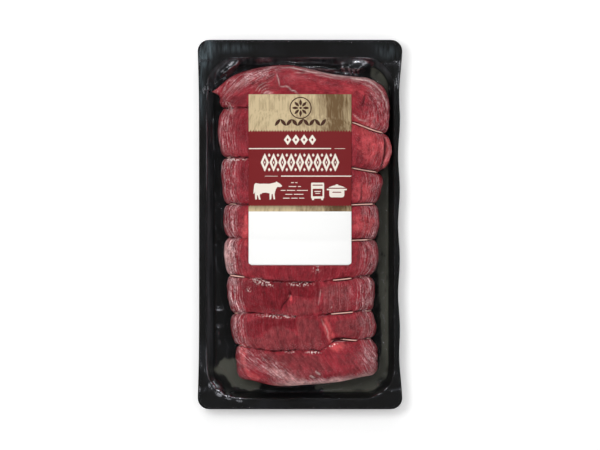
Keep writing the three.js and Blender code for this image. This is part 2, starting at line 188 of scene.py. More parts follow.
def spread(count, density, start, stop):
    """count + 1 places from start to stop, closest together where the density is high."""
    fine = np.linspace(start, stop, 8001)
    weight = density(fine)
    total = np.concatenate([[0], np.cumsum((weight[1:] + weight[:-1]) / 2)])
    return np.interp(np.linspace(0, total[-1], count + 1), total, fine)


def ripples(a, b, seed):
    """Smooth noise from -1 to 1 over two coordinates, one swell to a step."""
    table = np.random.default_rng(seed).uniform(-1, 1, (128, 128))
    i, j = np.floor(a).astype(int), np.floor(b).astype(int)
    s, t = smooth_step(0, 1, a - i), smooth_step(0, 1, b - j)
    corner = lambda m, n: table[(i + m) % 128, (j + n) % 128]
    return lerp(lerp(corner(0, 0), corner(1, 0), s), lerp(corner(0, 1), corner(1, 1), s), t)


def layered(a, b, seed, layers=3):
    """Ripples with finer and weaker ripples on top."""
    parts = [ripples(a * 2**k, b * 2**k, seed + k) / 2**k for k in range(layers)]
    return sum(parts) / 1.5


def near_path(x, y, path):
    """The distance to a path, positive on its left, and the share of the path passed."""
    path = np.asarray(path, float)
    steps = np.linalg.norm(np.diff(path, axis=0), axis=1)
    passed = np.concatenate([[0], np.cumsum(steps)])
    best = np.full(np.shape(x), np.inf)
    side, share = np.zeros(np.shape(x)), np.zeros(np.shape(x))
    for k, (start, stop) in enumerate(zip(path[:-1], path[1:])):
        dx, dy = (stop - start) / steps[k]
        along = np.clip((x - start[0]) * dx + (y - start[1]) * dy, 0, steps[k])
        off_x, off_y = x - start[0] - dx * along, y - start[1] - dy * along
        away = np.hypot(off_x, off_y)
        nearer = away < best
        best = np.where(nearer, away, best)
        side = np.where(nearer, np.sign(dx * off_y - dy * off_x), side)
        share = np.where(nearer, (passed[k] + along) / passed[-1], share)
    return best * np.where(side < 0, -1, 1), share


def outline_distance(x, y, outline):
    """The distance to a closed outline, negative inside."""
    path = np.asarray([*outline, outline[0]], float)
    inside = np.zeros(np.shape(x), bool)
    for (ax, ay), (bx, by) in zip(path[:-1], path[1:]):
        if ay != by:
            inside ^= ((ay > y) != (by > y)) & (x < (bx - ax) * (y - ay) / (by - ay) + ax)
    away = np.abs(near_path(x, y, path)[0])
    return np.where(inside, -away, away)


def tapered(share):
    """One along the middle of a path, running out at its ends."""
    return np.clip(np.minimum(share, 1 - share) * 5, 0, 1) ** 0.7


def patch(x, y, spot):
    """A soft-edged patch: 1 at the middle of an ellipse, about a third at its edge."""
    cx, cy, rx, ry, turn, amount = spot
    c, s = np.cos(np.radians(turn)), np.sin(np.radians(turn))
    a, b = ((x - cx) * c + (y - cy) * s) / rx, ((y - cy) * c - (x - cx) * s) / ry
    return amount * np.exp(-((a * a + b * b) ** 1.5))


def patches(x, y, spots):
    return np.clip(sum((patch(x, y, spot) for spot in spots), np.zeros_like(x)), 0, 1)


def numbered(rows, columns, start=0):
    """A grid of vertex numbers that count on from start."""
    return start + np.arange(rows * columns).reshape(rows, columns)


def closed(index):
    """A grid of vertex numbers whose last column meets its first."""
    return np.concatenate([index, index[:, :1]], axis=1)


def cells(index, turned=False):
    """The cells of a grid of vertex numbers, as four corners each, facing the other way if turned."""
    corners = [index[:-1, :-1], index[:-1, 1:], index[1:, 1:], index[1:, :-1]]
    if turned:
        corners = [corners[k] for k in (0, 3, 2, 1)]
    return np.stack(corners, -1).reshape(-1, 4)


def grid_normals(points):
    normals = np.cross(np.gradient(points, axis=1), np.gradient(points, axis=0))
    return normals / np.maximum(np.linalg.norm(normals, axis=-1, keepdims=True), 1e-9)


def spread_maximum(values, reach):
    """The highest value within reach cells, then smoothed over the same cells."""
    for axis in (0, 1):
        for take in (np.max, np.mean):
            margins = [(reach, reach) if k == axis else (0, 0) for k in (0, 1)]
            wide = np.pad(values, margins, mode="edge")
            size = values.shape[axis]
            moved = [np.take(wide, range(k, k + size), axis) for k in range(2 * reach + 1)]
            values = take(moved, axis=0)
    return values


def make_piece(name, points, faces, material, masks=None):
    """A smooth-shaded mesh object from points in millimetres, with named values on its points."""
    mesh = bpy.data.meshes.new(name)
    faces = [[int(corner) for corner in face] for face in faces]
    mesh.from_pydata((np.asarray(points) * MM).tolist(), [], faces)
    mesh.polygons.foreach_set("use_smooth", [True] * len(mesh.polygons))
    for mask, values in (masks or {}).items():
        kind, field = ("FLOAT_VECTOR", "vector") if np.ndim(values) == 2 else ("FLOAT", "value")
        attribute = mesh.attributes.new(mask, kind, "POINT")
        attribute.data.foreach_set(field, np.ravel(values).astype(np.float32))
    mesh.validate()
    mesh.update()
    piece = bpy.data.objects.new(name, mesh)
    bpy.context.scene.collection.objects.link(piece)
    mesh.materials.append(material)
    return piece


def thicken(piece, thickness):
    """Gives a sheet its thickness, on the side away from its faces, as real geometry."""
    shell = piece.modifiers.new("shell", "SOLIDIFY")
    shell.thickness = thickness * MM
    shell.offset = -1
    whole = piece.evaluated_get(bpy.context.evaluated_depsgraph_get())
    mesh = bpy.data.meshes.new_from_object(whole)
    piece.modifiers.clear()
    piece.data = mesh


def dress(piece, slot, *nodes):
    """Puts a piece in the frame in place of the solids that it stands for."""
    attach(piece, "root")
    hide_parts(*nodes)


# ---------------------------------------------------------------- the joint's shape


def line_heights(u):
    """y of every line where it crosses the joint at u, from -1 at the left to 1 at the right."""
    return np.stack([through(line["across"], (len(line["across"]) - 1) * (u + 1) / 2) for line in LINES])


def lines_beside(lines, lobe):
    """y of the lines on the two sides of a lobe."""
    low, high = (np.take_along_axis(lines, lobe[None] + k, 0)[0] for k in (0, 1))
    return low, high


def across_at(u):
    """About how far right of the pack's middle u lies, in mm."""
    return HALF_WIDTH * u + OFF_MIDDLE


def near_line(t):
    """From 0 on a lobe's fullest part to 1 at its lines; lines are at whole numbers of t."""
    share = np.minimum(1, 2 * np.abs(t - np.floor(t) - 0.5) / GROOVE_FLOOR)
    return share ** FULLNESS["lobe"]


def shoulder(radius, distance):
    inside = np.clip(radius - distance, 0, radius)
    return radius - np.sqrt(radius**2 - inside**2)


def place_on_joint(theta, t):
    """Where points of the joint's skin lie among its lines: u, y, the nearest tie and how far it is."""
    u = -np.cos(theta)
    lobe = np.clip(np.floor(t).astype(int), 0, len(LOBES) - 1)
    lines = line_heights(u)
    low, high = lines_beside(lines, lobe)
    y = lerp(low, high, t - lobe)
    tie = np.where(t - lobe < 0.5, lobe, lobe + 1)
    is_tie = (tie > 0) & (tie < len(LOBES))
    off = y - np.where(tie == lobe, low, high)
    near = {"tie": tie, "is_tie": is_tie, "off": off, "away": np.abs(off)}
    return {"u": u, "y": y, "lines": lines, "lobe": lobe, **near}


def joint_skin(theta, t, bite=None, notched=True):
    """Points of the joint's skin. theta runs from 0 at the left girth over the top to pi at the
    right, and on to two pi underneath. bite is how deep the top dips there."""
    place = place_on_joint(theta, t)
    u, y, lines = place["u"], place["y"], place["lines"]
    over = theta <= np.pi + 1e-9
    to_bottom, to_top = y - lines[0], lines[-1] - y
    at_top = to_top < to_bottom
    to_end = np.maximum(0, np.minimum(to_bottom, to_top))
    notch = np.exp(-((place["away"] / NOTCH["reach"]) ** NOTCH["power"]))
    notch = lerp(notch, (2 * t - 2 * np.floor(t) - 1) ** 2, BOW) * notched
    pull = np.where(place["is_tie"], notch, near_line(t))
    sides = []
    for side, inward, row, seed in (("left", 1, 3.5, 51), ("right", -1, 8.5, 53)):
        full = through([lobe[side] for lobe in LOBES], t - 0.5)
        tied = through([line[side] for line in LINES], t)
        rounding = [shoulder(SHOULDERS[end][side], to_end) for end in ("top", "bottom")]
        uneven = UNEVEN["depth"] * layered(y / UNEVEN["pitch"], np.full_like(y, row), seed)
        sides.append(lerp(full, tied, pull) + inward * np.where(at_top, *rounding) + uneven)
    crown = through([lobe["crown"] for lobe in LOBES], t - 0.5) - (0 if bite is None else bite)
    under_bite = TIE_BITE["under"] * near_line(t) * place["is_tie"]
    under = PACK["sheet"] + OFF_TRAY + (0 if bite is None else under_bite)
    end = super_circle(np.maximum(0, 1 - to_end / END_ROUNDING), FULLNESS["end"])
    share = np.where(over, super_circle(u, FULLNESS["top"]), super_circle(u, FULLNESS["under"])) * end
    z = lerp(GIRTH_HEIGHT, np.where(over, crown, under), share)
    return np.stack([lerp(*sides, (u + 1) / 2), y, z], -1)


# Where the twine shows in its groove: the tie, counted from the bottom end, and from where to
# where across the joint, in mm. Elsewhere the meat closes over it.
OPEN_TWINE = [
    (7, 45, 68),
    (6, 48, 67),
    (5, 45, 67),
    (4, 45, 64),
    (3, 36, 51),
    (3, -62, -53),
    (2, 32, 51),
    (1, 45, 55),
]
# Where the meat on the two sides of a tie has nearly grown together: the tie, from where to where,
# and by how much.
GROWN_OVER = [(2, -2, 17, 0.8), (3, 14, 26, 0.5)]


def openness(x, tie):
    """From 0 where the meat has closed over a tie to 1 where the twine lies open."""
    gaps = [
        smooth_step(start - 3, start + 1, x) * (1 - smooth_step(stop - 1, stop + 3, x)) * (tie == line)
        for line, start, stop in OPEN_TWINE
    ]
    return np.clip(sum(gaps), 0, 1)


def tie_dip(theta, t):
    """How deep the meat dips towards its ties, and the depth of the narrow cut in that dip."""
    place = place_on_joint(theta, t)
    x, tie, is_tie = across_at(place["u"]), place["tie"], place["is_tie"]
    is_open = openness(x, tie)
    valley = lerp(1.2 + 0.4 * ripples(x / 9, tie * 7.3, 11), 2.35, is_open)
    valley = valley * np.exp(-((place["away"] / VALLEY["reach"]) ** VALLEY["power"]))
    # The cut over a closed tie wanders a little to and fro, and is deeper in some places.
    drift = 0.75 * layered(x / 6.5, tie * 5.9, 12, 2) * (1 - is_open)
    cleft = lerp(1.0 + 0.55 * ripples(x / 6, tie * 3.7, 13), 2.4, is_open)
    reach = CLEFT["reach"] * (1 + 0.5 * is_open)
    cleft = cleft * np.exp(-((np.abs(place["off"] - drift) / reach) ** CLEFT["power"]))
    for line, start, stop, share in GROWN_OVER:
        grown = share * smooth_step(start - 4, start, x) * smooth_step(stop + 4, stop, x)
        rest = 1 - grown * (tie == line)
        valley, cleft = valley * (0.5 + 0.5 * rest), cleft * rest
    return valley * is_tie, cleft * is_tie


# Folds pressed into the meat: path, depth, half width.
FOLDS = [
    ([(57.5, 115), (56.5, 110), (55, 104)], 1.3, 1.3),
    ([(45.5, 99.5), (51, 103.5), (60, 105), (70, 108)], 0.7, 1.0),
    ([(73.9, 78.5), (75.3, 71.7), (74.8, 61.2), (73, 52.4), (71, 46.5)], 2.2, 1.1),
    ([(54.6, 36), (54.2, 27), (53.7, 19)], 1.2, 1.1),
    ([(17.6, -52), (18.4, -64), (17.6, -77)], 0.5, 0.8),
    ([(41.4, -50.6), (42.4, -59), (42.2, -66.4)], 0.5, 0.8),
    ([(-17.5, -77.5), (-15.5, -71), (-10.3, -65), (-8.2, -60.5), (-9.5, -55)], 1.35, 1.0),
    ([(-8.2, -62.5), (-2.9, -62), (6, -63.6), (12, -63.2)], 0.8, 0.9),
    ([(-24.5, -56), (-22, -62), (-24, -70), (-21, -76)], 0.5, 1.2),
    ([(-3.7, -82.3), (-3.2, -89), (-3.7, -95.5)], 0.6, 0.8),
    ([(-57, -22), (-52, -33), (-50, -44)], 0.5, 0.9),
    ([(-60, 40), (-57, 30), (-58, 20)], 0.4, 0.9),
    ([(26, -101.5), (34, -100.5), (42, -101.2)], 1.5, 1.4),
]
# Edges where one layer of muscle lies on the next: path with the higher layer on its left, height,
# and how far the layer takes to run out.
LAYERS = [
    ([
        (-3.5, 113), (-3.5, 115.7), (-8.8, 121), (-17, 120.1),
        (-18.5, 127.2), (-20.1, 132.9), (-15, 138.6),
    ], 1.5, 9),
    ([(26.5, -103.5), (27.3, -97.2), (23.8, -89.3), (19.4, -82.3), (18, -80)], 1.2, 10),
]
# Lumps that stand proud: x, y, radii, turn and height.
LUMPS = [
    (33.4, -106.5, 7.5, 4.6, 8, 1.5),
    (-8.8, -63.4, 1.6, 1.4, 0, 0.45),
    (27.7, -72.6, 1.1, 1.0, 0, 0.35),
    (79, 61, 5, 15, 0, 0.9),
    (-26, 128, 20, 8, 22, 0.9),
    (30, 112, 22, 9, -6, 0.8),
    (-30, -121, 22, 8, -30, 0.7),
    (-30, -64, 20, 9, 4, 0.6),
]
# Swells and ridges of the meat: which plane they are drawn in, their height in mm on the crown and
# at the girth, their pitch in mm both ways, how far each lobe's pattern is moved on, and the seed.
SWELLS = [
    ("plan", 0.55, 0.55, (21, 26), (3.7, 0), 21),
    ("plan", 0.30, 0.30, (8, 8), (2.3, 0), 25),
    ("grain", 0.08, 0.36, (6.5, 21), (0, 5.1), 31),
]
# Finer ones, of a single layer each.
RIDGES = [
    (0.03, 0.26, (1.7, 17), 9.7, 41),
    (0.0, 0.20, (4.1, 30), 0, 43),
]
PITS = {"height": 0.09, "pitch": 2.1}
RAGGED_ENDS = {"bottom": 0.7, "top": 0.35}
PUCKER = {"height": 0.5, "crease": 1.6, "reach": 2.6, "pitch": 2.0}
UNDER_LABEL = 0.15  # the share of the relief that is left under the label
FALL = 0.35  # how much the lines of the fibres move on for each mm down the flanks
TOP_FIBRES = {"rounding": 9, "turn_at": (25, 60), "level": 112, "drift": 0.10, "drift_to": 30}
END_FIBRES = {"turn": -30, "curl": 0.006, "curl_from": -45, "finer": 1.5, "shorter": 1.8}
ROWS = 400
COLUMNS = 216
UNDER_STRIDE = 9


def grain_frame(x, y, drop, place):
    """Coordinates along and across the meat's fibres, in mm. drop is how far below the crown."""
    u, lobe = place["u"], place["lobe"]
    top, end = lobe == len(LOBES) - 1, lobe == 0
    along, across = y, HALF_WIDTH * u + np.sign(u) * FALL * drop
    # In the top lobe they follow its outline, and turn down at its right.
    to_top, to_side = place["lines"][-1] - y, HALF_WIDTH * (1 - u)
    r = TOP_FIBRES["rounding"]
    to_edge = -r * np.log(np.exp(-to_top / r) + np.exp(-to_side / r))
    turned = (y - TOP_FIBRES["level"]) * smooth_step(*TOP_FIBRES["turn_at"], x)
    drift = TOP_FIBRES["drift"] * np.minimum(x, TOP_FIBRES["drift_to"])
    along = np.where(top, x - turned, along)
    across = np.where(top, to_edge + drift - FALL * drop, across)
    # In the bottom lobe they run slanting and curl a little.
    c, s = np.cos(np.radians(END_FIBRES["turn"])), np.sin(np.radians(END_FIBRES["turn"]))
    curl = END_FIBRES["curl"] * (x - END_FIBRES["curl_from"]) ** 2
    across = np.where(end, -s * x + c * y + curl - FALL * drop, across)
    along = np.where(end, c * x + s * y, along)
    shorter, finer = (np.where(end | top, END_FIBRES[name], 1.0) for name in ("shorter", "finer"))
    return along * shorter, across * finer


def skin_rows():
    """Places along the joint, counted in lobes, closest at the ties and closer still at the ends."""
    mm_per_lobe = np.diff(line_heights(np.zeros(1))[:, 0])

    def density(t):
        long = mm_per_lobe[np.clip(t.astype(int), 0, len(LOBES) - 1)]
        away = np.abs(t - np.round(t)) * long
        at_end = (t < 0.5) | (t > len(LOBES) - 0.5)
        return long * (1 + 3.2 * np.exp(-((away / 1.7) ** 2)) + 3 * np.exp(-away / 1.5) * at_end)

    return spread(ROWS, density, 0, len(LOBES))


def skin_columns():
    """Angles over the joint from left to right, at even steps round its middle."""
    fine = np.linspace(0, np.pi, 4001)
    section = joint_skin(fine, np.full_like(fine, 4.5))[:, [0, 2]]
    arc = np.concatenate([[0], np.cumsum(np.linalg.norm(np.diff(section, axis=0), axis=1))])
    return np.interp(np.linspace(0, arc[-1], COLUMNS + 1), arc, fine)


def joint_relief(x, y, along, across, place):
    """How far the meat stands up from its even skin, and how deep it is creased."""
    u, lobe = place["u"], place["lobe"]
    edge = smooth_step(0.72, 0.97, np.abs(u))
    relief = PITS["height"] * layered(x / PITS["pitch"], y / PITS["pitch"], 45, 2)
    for plane, crown, girth, (a, b), (move_a, move_b), seed in SWELLS:
        first, second = (x, y) if plane == "plan" else (across, along)
        swell = layered(first / a + lobe * move_a, second / b + lobe * move_b, seed)
        relief += lerp(crown, girth, edge) * swell
    for crown, girth, (a, b), move, seed in RIDGES:
        relief += lerp(crown, girth, edge) * ripples(across / a, along / b + lobe * move, seed)
    ragged = RAGGED_ENDS["bottom"] * (lobe == 0) + RAGGED_ENDS["top"] * (lobe == len(LOBES) - 1)
    relief += ragged * smooth_step(0.8, 1.0, np.abs(u)) * layered(y / 4.5, x / 9, 49)
    # The meat puckers where the ties draw it in.
    drawn_in = np.exp(-place["away"] / PUCKER["reach"]) * place["is_tie"]
    side = place["tie"] * 5.3 + (place["off"] > 0) * 31.7
    pucker = ripples(HALF_WIDTH * u / PUCKER["pitch"], side, 47)
    relief += PUCKER["height"] * drawn_in * pucker
    creases = PUCKER["crease"] * drawn_in * np.clip(-pucker - 0.35, 0, 1)
    for path, depth, width in FOLDS:
        away, share = near_path(x, y, path)
        creases += depth * np.exp(-((away / width) ** 2)) * tapered(share)
    for path, height, reach in LAYERS:
        away, share = near_path(x, y, path)
        step = smooth_step(-0.5, 0.5, away) * np.exp(-np.maximum(away, 0) / reach)
        relief += height * step * tapered(share)
        creases += 0.5 * height * np.exp(-(((away + 0.6) / 0.7) ** 2)) * tapered(share)
    for lump in LUMPS:
        relief += patch(x, y, lump)
    # It lies flat under the label, and runs out at the very ends.
    sides = [x - LABEL["left"], LABEL["right"] - x, y - LABEL["bottom"], LABEL["top"] - y]
    bare = 1 - smooth_step(-3, 1.5, np.minimum.reduce(sides))
    calm = smooth_step(0, 1.5, np.minimum(place["lines"][-1] - y, y - place["lines"][0]))
    return relief * lerp(UNDER_LABEL, 1, bare) * calm, creases * bare


@functools.lru_cache(maxsize=1)
def joint_shape():
    """The joint's dense upper skin: its points with and without relief, and the values that the
    material and the film read."""
    rows, columns = skin_rows(), skin_columns()
    theta, t = np.meshgrid(columns, rows)
    place = place_on_joint(theta, t)
    valley, cleft = tie_dip(theta, t)
    base = joint_skin(theta, t, valley)
    normals = grid_normals(base)
    x, y, z = base[..., 0], base[..., 1], base[..., 2]
    drop = np.array([lobe["crown"] for lobe in LOBES])[place["lobe"]] - z
    along, across = grain_frame(x, y, drop, place)
    relief, creases = joint_relief(x, y, along, across, place)
    # The painted shade over a closed cut is darker in some places than in others.
    dark = 0.85 + 0.85 * layered(place["u"] * 15, place["tie"] * 4.1, 15, 2)
    dark = lerp(dark, 0.45, openness(across_at(place["u"]), place["tie"]))
    return {
        "rows": rows, "columns": columns, "place": place, "lobe": place["lobe"],
        "base": base, "normals": normals, "along": along, "across": across,
        "solid": base + normals * (relief - creases - cleft)[..., None],
        "cover": spread_maximum(relief, 3),
        # Painted shade: how deep the folds and cuts lie, for the material to paint them dark.
        "sunk": creases + (cleft + 0.15 * valley) * dark,
    }


# ---------------------------------------------------------------- the tray's shape


def pack_spokes(places):
    """Spokes out from the pack's middle line through points given as x and y."""
    x, y = np.asarray(places, float).T
    start = np.clip(y, -SPINE, SPINE)
    ray = np.stack([x, y - start], -1)
    return start, ray / np.linalg.norm(ray, axis=1, keepdims=True)


def reach_to_rectangle(start, ray, box, inset=0.0):
    """How far along each spoke a rounded rectangle's edge lies."""
    left, right = box["left"] + inset, box["right"] - inset
    bottom, top, radius = box["bottom"] + inset, box["top"] - inset, box["radius"] - inset
    with np.errstate(divide="ignore"):
        reach_x = np.where(ray[:, 0] > 0, right, left) / np.where(ray[:, 0] == 0, 1e-12, ray[:, 0])
        rise = np.where(ray[:, 1] > 0, top, bottom) - start
        reach_y = rise / np.where(ray[:, 1] == 0, 1e-12, ray[:, 1])
    reach = np.minimum(np.abs(reach_x), np.where(np.abs(ray[:, 1]) < 1e-9, np.inf, np.abs(reach_y)))
    centre_x = np.where(ray[:, 0] > 0, right - radius, left + radius)
    centre_y = np.where(ray[:, 1] > 0, top - radius, bottom + radius) - start
    past_x = (ray[:, 0] * reach - centre_x) * ray[:, 0] > 0
    past_y = (ray[:, 1] * reach - centre_y) * ray[:, 1] > 0
    in_corner = past_x & past_y
    along = ray[:, 0] * centre_x + ray[:, 1] * centre_y
    rest = np.maximum(0, along**2 - centre_x**2 - centre_y**2 + radius**2)
    return np.where(in_corner, along + np.sqrt(rest), reach)


def reach_to_pack_edge(start, ray, inset=0.0):
    """How far along each spoke the flange ends, with its long sides drawn in by the film."""
    half_x, half_y = PACK["width"] / 2, PACK["length"] / 2
    outline = {"left": -half_x, "right": half_x, "bottom": -half_y, "top": half_y}
    outline["radius"] = PACK["corner"]
    reach = reach_to_rectangle(start, ray, outline, inset)
    along = (start + ray[:, 1] * reach) / (half_y - PACK["corner"])
    on_side = np.maximum(0, np.abs(ray[:, 0] * reach) - half_x + PACK["corner"]) / PACK["corner"]
    bow = on_side**2 * np.maximum(0, 1 - np.abs(along) ** 6)
    wave = 1 - FLANGE_WAVE["share"] * (1 - np.cos(2 * np.pi * FLANGE_WAVE["count"] * along))
    return reach - np.where(ray[:, 0] < 0, FLANGE_PULL["left"], FLANGE_PULL["right"] * wave) * bow


def bend(start, corner, stop, steps):
    """A rounded corner: reach and height in steps from start round the corner to stop."""
    s = np.linspace(0, 1, steps)[:, None, None]
    return (1 - s) ** 2 * start + 2 * s * (1 - s) * corner + s**2 * stop


def tray_section(start, ray, lift=0.0):
    """The tray's section along each spoke, from the floor out to the flange's edge. Its axes are
    step, spoke, and reach or height. The film lies on it, this much higher."""
    side = lift + 0.05 if lift else 0.0
    foot_reach, rim_reach = (reach_to_rectangle(start, ray, box, side) for box in (FOOT, RIM))
    foot = np.stack([foot_reach, np.full(len(ray), PACK["sheet"] + lift)], -1)
    rim = np.stack([rim_reach, np.full(len(ray), PACK["depth"] + lift)], -1)
    edge = np.stack([reach_to_pack_edge(start, ray, 2 * lift), rim[:, 1]], -1)
    up = (rim - foot) / np.linalg.norm(rim - foot, axis=1, keepdims=True)
    out = np.array([1.0, 0.0])
    low, high = FOOT_BEND, RIM_BEND
    parts = [
        lerp(foot - FLOOR_BAND * out, foot - low * out, np.linspace(0, 1, 27)[:-1, None, None]),
        bend(foot - low * out, foot, foot + low * up, 7),
        lerp(foot + low * up, rim - high * up, np.linspace(0, 1, 9)[1:-1, None, None]),
        bend(rim - high * up, rim, rim + high * out, 7),
        lerp(rim + high * out, edge, np.linspace(0, 1, 10)[1:, None, None]),
    ]
    return np.concatenate(parts)


def spoke_points(start, ray, section):
    """The places of a section's steps, with axes step, spoke and xyz."""
    xy = section[..., :1] * ray[None] + np.stack([np.zeros(len(ray)), start], -1)[None]
    return np.concatenate([xy, section[..., 1:]], -1)


# ---------------------------------------------------------------- shader nodes


def add(tree, kind, inputs=None, output=None, **settings):
    """Adds one shader node, sets it, sets or links its inputs, and returns one of its outputs."""
    node = tree.nodes.new("ShaderNode" + kind)
    for setting, value in settings.items():
        setattr(node, setting, value)
    for key, value in (inputs or {}).items():
        live = (socket for socket in node.inputs if socket.enabled and socket.name == key)
        socket = node.inputs[key] if isinstance(key, int) else next(live)
        if isinstance(value, bpy.types.NodeSocket):
            tree.links.new(value, socket)
        else:
            socket.default_value = value
    outputs = (socket for socket in node.outputs if socket.enabled and output in (None, socket.name))
    return next(outputs, None)


def new_material(name):
    material = bpy.data.materials.new(name)
    material.use_nodes = True
    material.node_tree.nodes.clear()
    return material, functools.partial(add, material.node_tree)


# ---------------------------------------------------------------- properties


def length(name, description, default):
    """A length property; its default is in millimetres and its value in metres."""
    return bpy.props.FloatProperty(
        name=name, description=description, default=default * MM, min=0.0, precision=5, unit="LENGTH"
    )


def colour(name, description, default):
    return bpy.props.FloatVectorProperty(
        name=name, description=description, default=linear(default), size=4, min=0, max=1, subtype="COLOR"
    )


def power(name, description, default):
    return bpy.props.FloatProperty(name=name, description=description, default=default, min=0.0, unit="POWER")


def factor(name, description, default, most=1.0):
    return bpy.props.FloatProperty(
        name=name, description=description, default=default, min=0.0, max=most, subtype="FACTOR"
    )


class RoastPackBeef(bpy.types.PropertyGroup):
    lean: colour("Lean", "Colour of the cut muscle", "#942b35")
    deep: colour("Deep lean", "Colour where blood has gathered in the muscle", "#741721")
    veil: colour("Veil", "Colour where thin skin covers the muscle", "#86393d")
    fresh: colour("Fresh cut", "Colour of freshly opened muscle", "#c94f53")
    # Partly silverskin, partly a painted sheen of the film on the flanks.
    silverskin_and_sheen: colour("Silverskin", "Colour of the pale threads on the muscle", "#f6d6d8")
    rind: colour("Rind", "Colour of the thin rind of fat", "#f4c2bf")
    # Also the colour of the painted glints just below the ties.
    fat: colour("Fat", "Colour of flecks of fat and air under the film", "#f4e2dd")
    # Painted shade: the near black laid into the folds, over the cuts and in the cracks between fibres.
    shadow: colour("Cleft", "Colour deep in the folds", "#2c090f")


class RoastPackTwine(bpy.types.PropertyGroup):
    thickness: length("Thickness", "Diameter of the twine, drawn tight", 1.1625)
    lay: length("Lay", "Length over which a strand goes once round", 5.2)
    yarn: colour("Yarn", "Colour of the wet cotton", "#ffd6c8")
    soaked: colour("Soaked yarn", "Colour where juice has soaked in", "#e0a292")


class RoastPackTray(bpy.types.PropertyGroup):
    plastic: colour("Plastic", "Colour of the black tray", "#181818")
    # Painted light: the floor's colour where light reaches it past the joint.
    lit_floor_colour: colour("Dry floor", "Colour of the floor where no juice has run", "#53534b")
    bloom: colour("Bloom", "Pale haze rubbed onto the flange", "#27282c")
    # Painted reflection: the film's pale sheen on the flange's corners.
    rubbed: colour("Rubbed", "Colour of the flange's corner, rubbed pale", "#5d6a70")
    # Painted reflection: the film's pale streaks on the left and top walls.
    drawn: colour("Drawn wall", "Colour of the walls, where the sheet is drawn thin", "#6a6c70")


class RoastPackFilm(bpy.types.PropertyGroup):
    thickness: length("Thickness", "Thickness of the film", 0.25)
    reflection: factor("Reflection", "Share of light that a free face reflects head on", 0.05, 0.2)
    crumple: factor("Crumple", "Further share where the film is crumpled", 0.6, 0.8)
    clinging: factor("Clinging", "The same share where the film clings to wet meat", 0.008, 0.2)


class RoastPackLabel(bpy.types.PropertyGroup):
    paper: colour("Paper", "Colour of the bare paper", "#fdfdfc")
    band: colour("Red band", "Colour of the printed red field", "#791c20")
    cream: colour("Cream ink", "Colour of the rules and small signs", "#efe6da")
    wood_light: colour("Light wood", "Colour of the printed wood's pale grain", "#cdb993")
    wood_dark: colour("Dark wood", "Colour of the printed wood's dark grain", "#6f5638")
    brown: colour("Brown ink", "Colour of the ornament on the wood", "#45261a")


class RoastPackStage(bpy.types.PropertyGroup):
    floor: colour("Floor", "Colour of the floor", "#f7f7f7")
    glow: factor("Glow", "Light that the floor gives of itself", 0.23, 2)
    camera_height: length("Camera height", "Height of the camera over the floor", 5000)
    view_width: length("View width", "Width of the view at the tray's rim", 528)
    sky: power("Overhead light", "Power of the wide light overhead", 8.2)
    key: power("Key light", "Power of the light from the top left", 13.4)
    top: power("Top light", "Power of the strip light beyond the top end", 5)
    fill: power("Fill lights", "Power of each low wide light around", 4.5)


# ---------------------------------------------------------------- materials


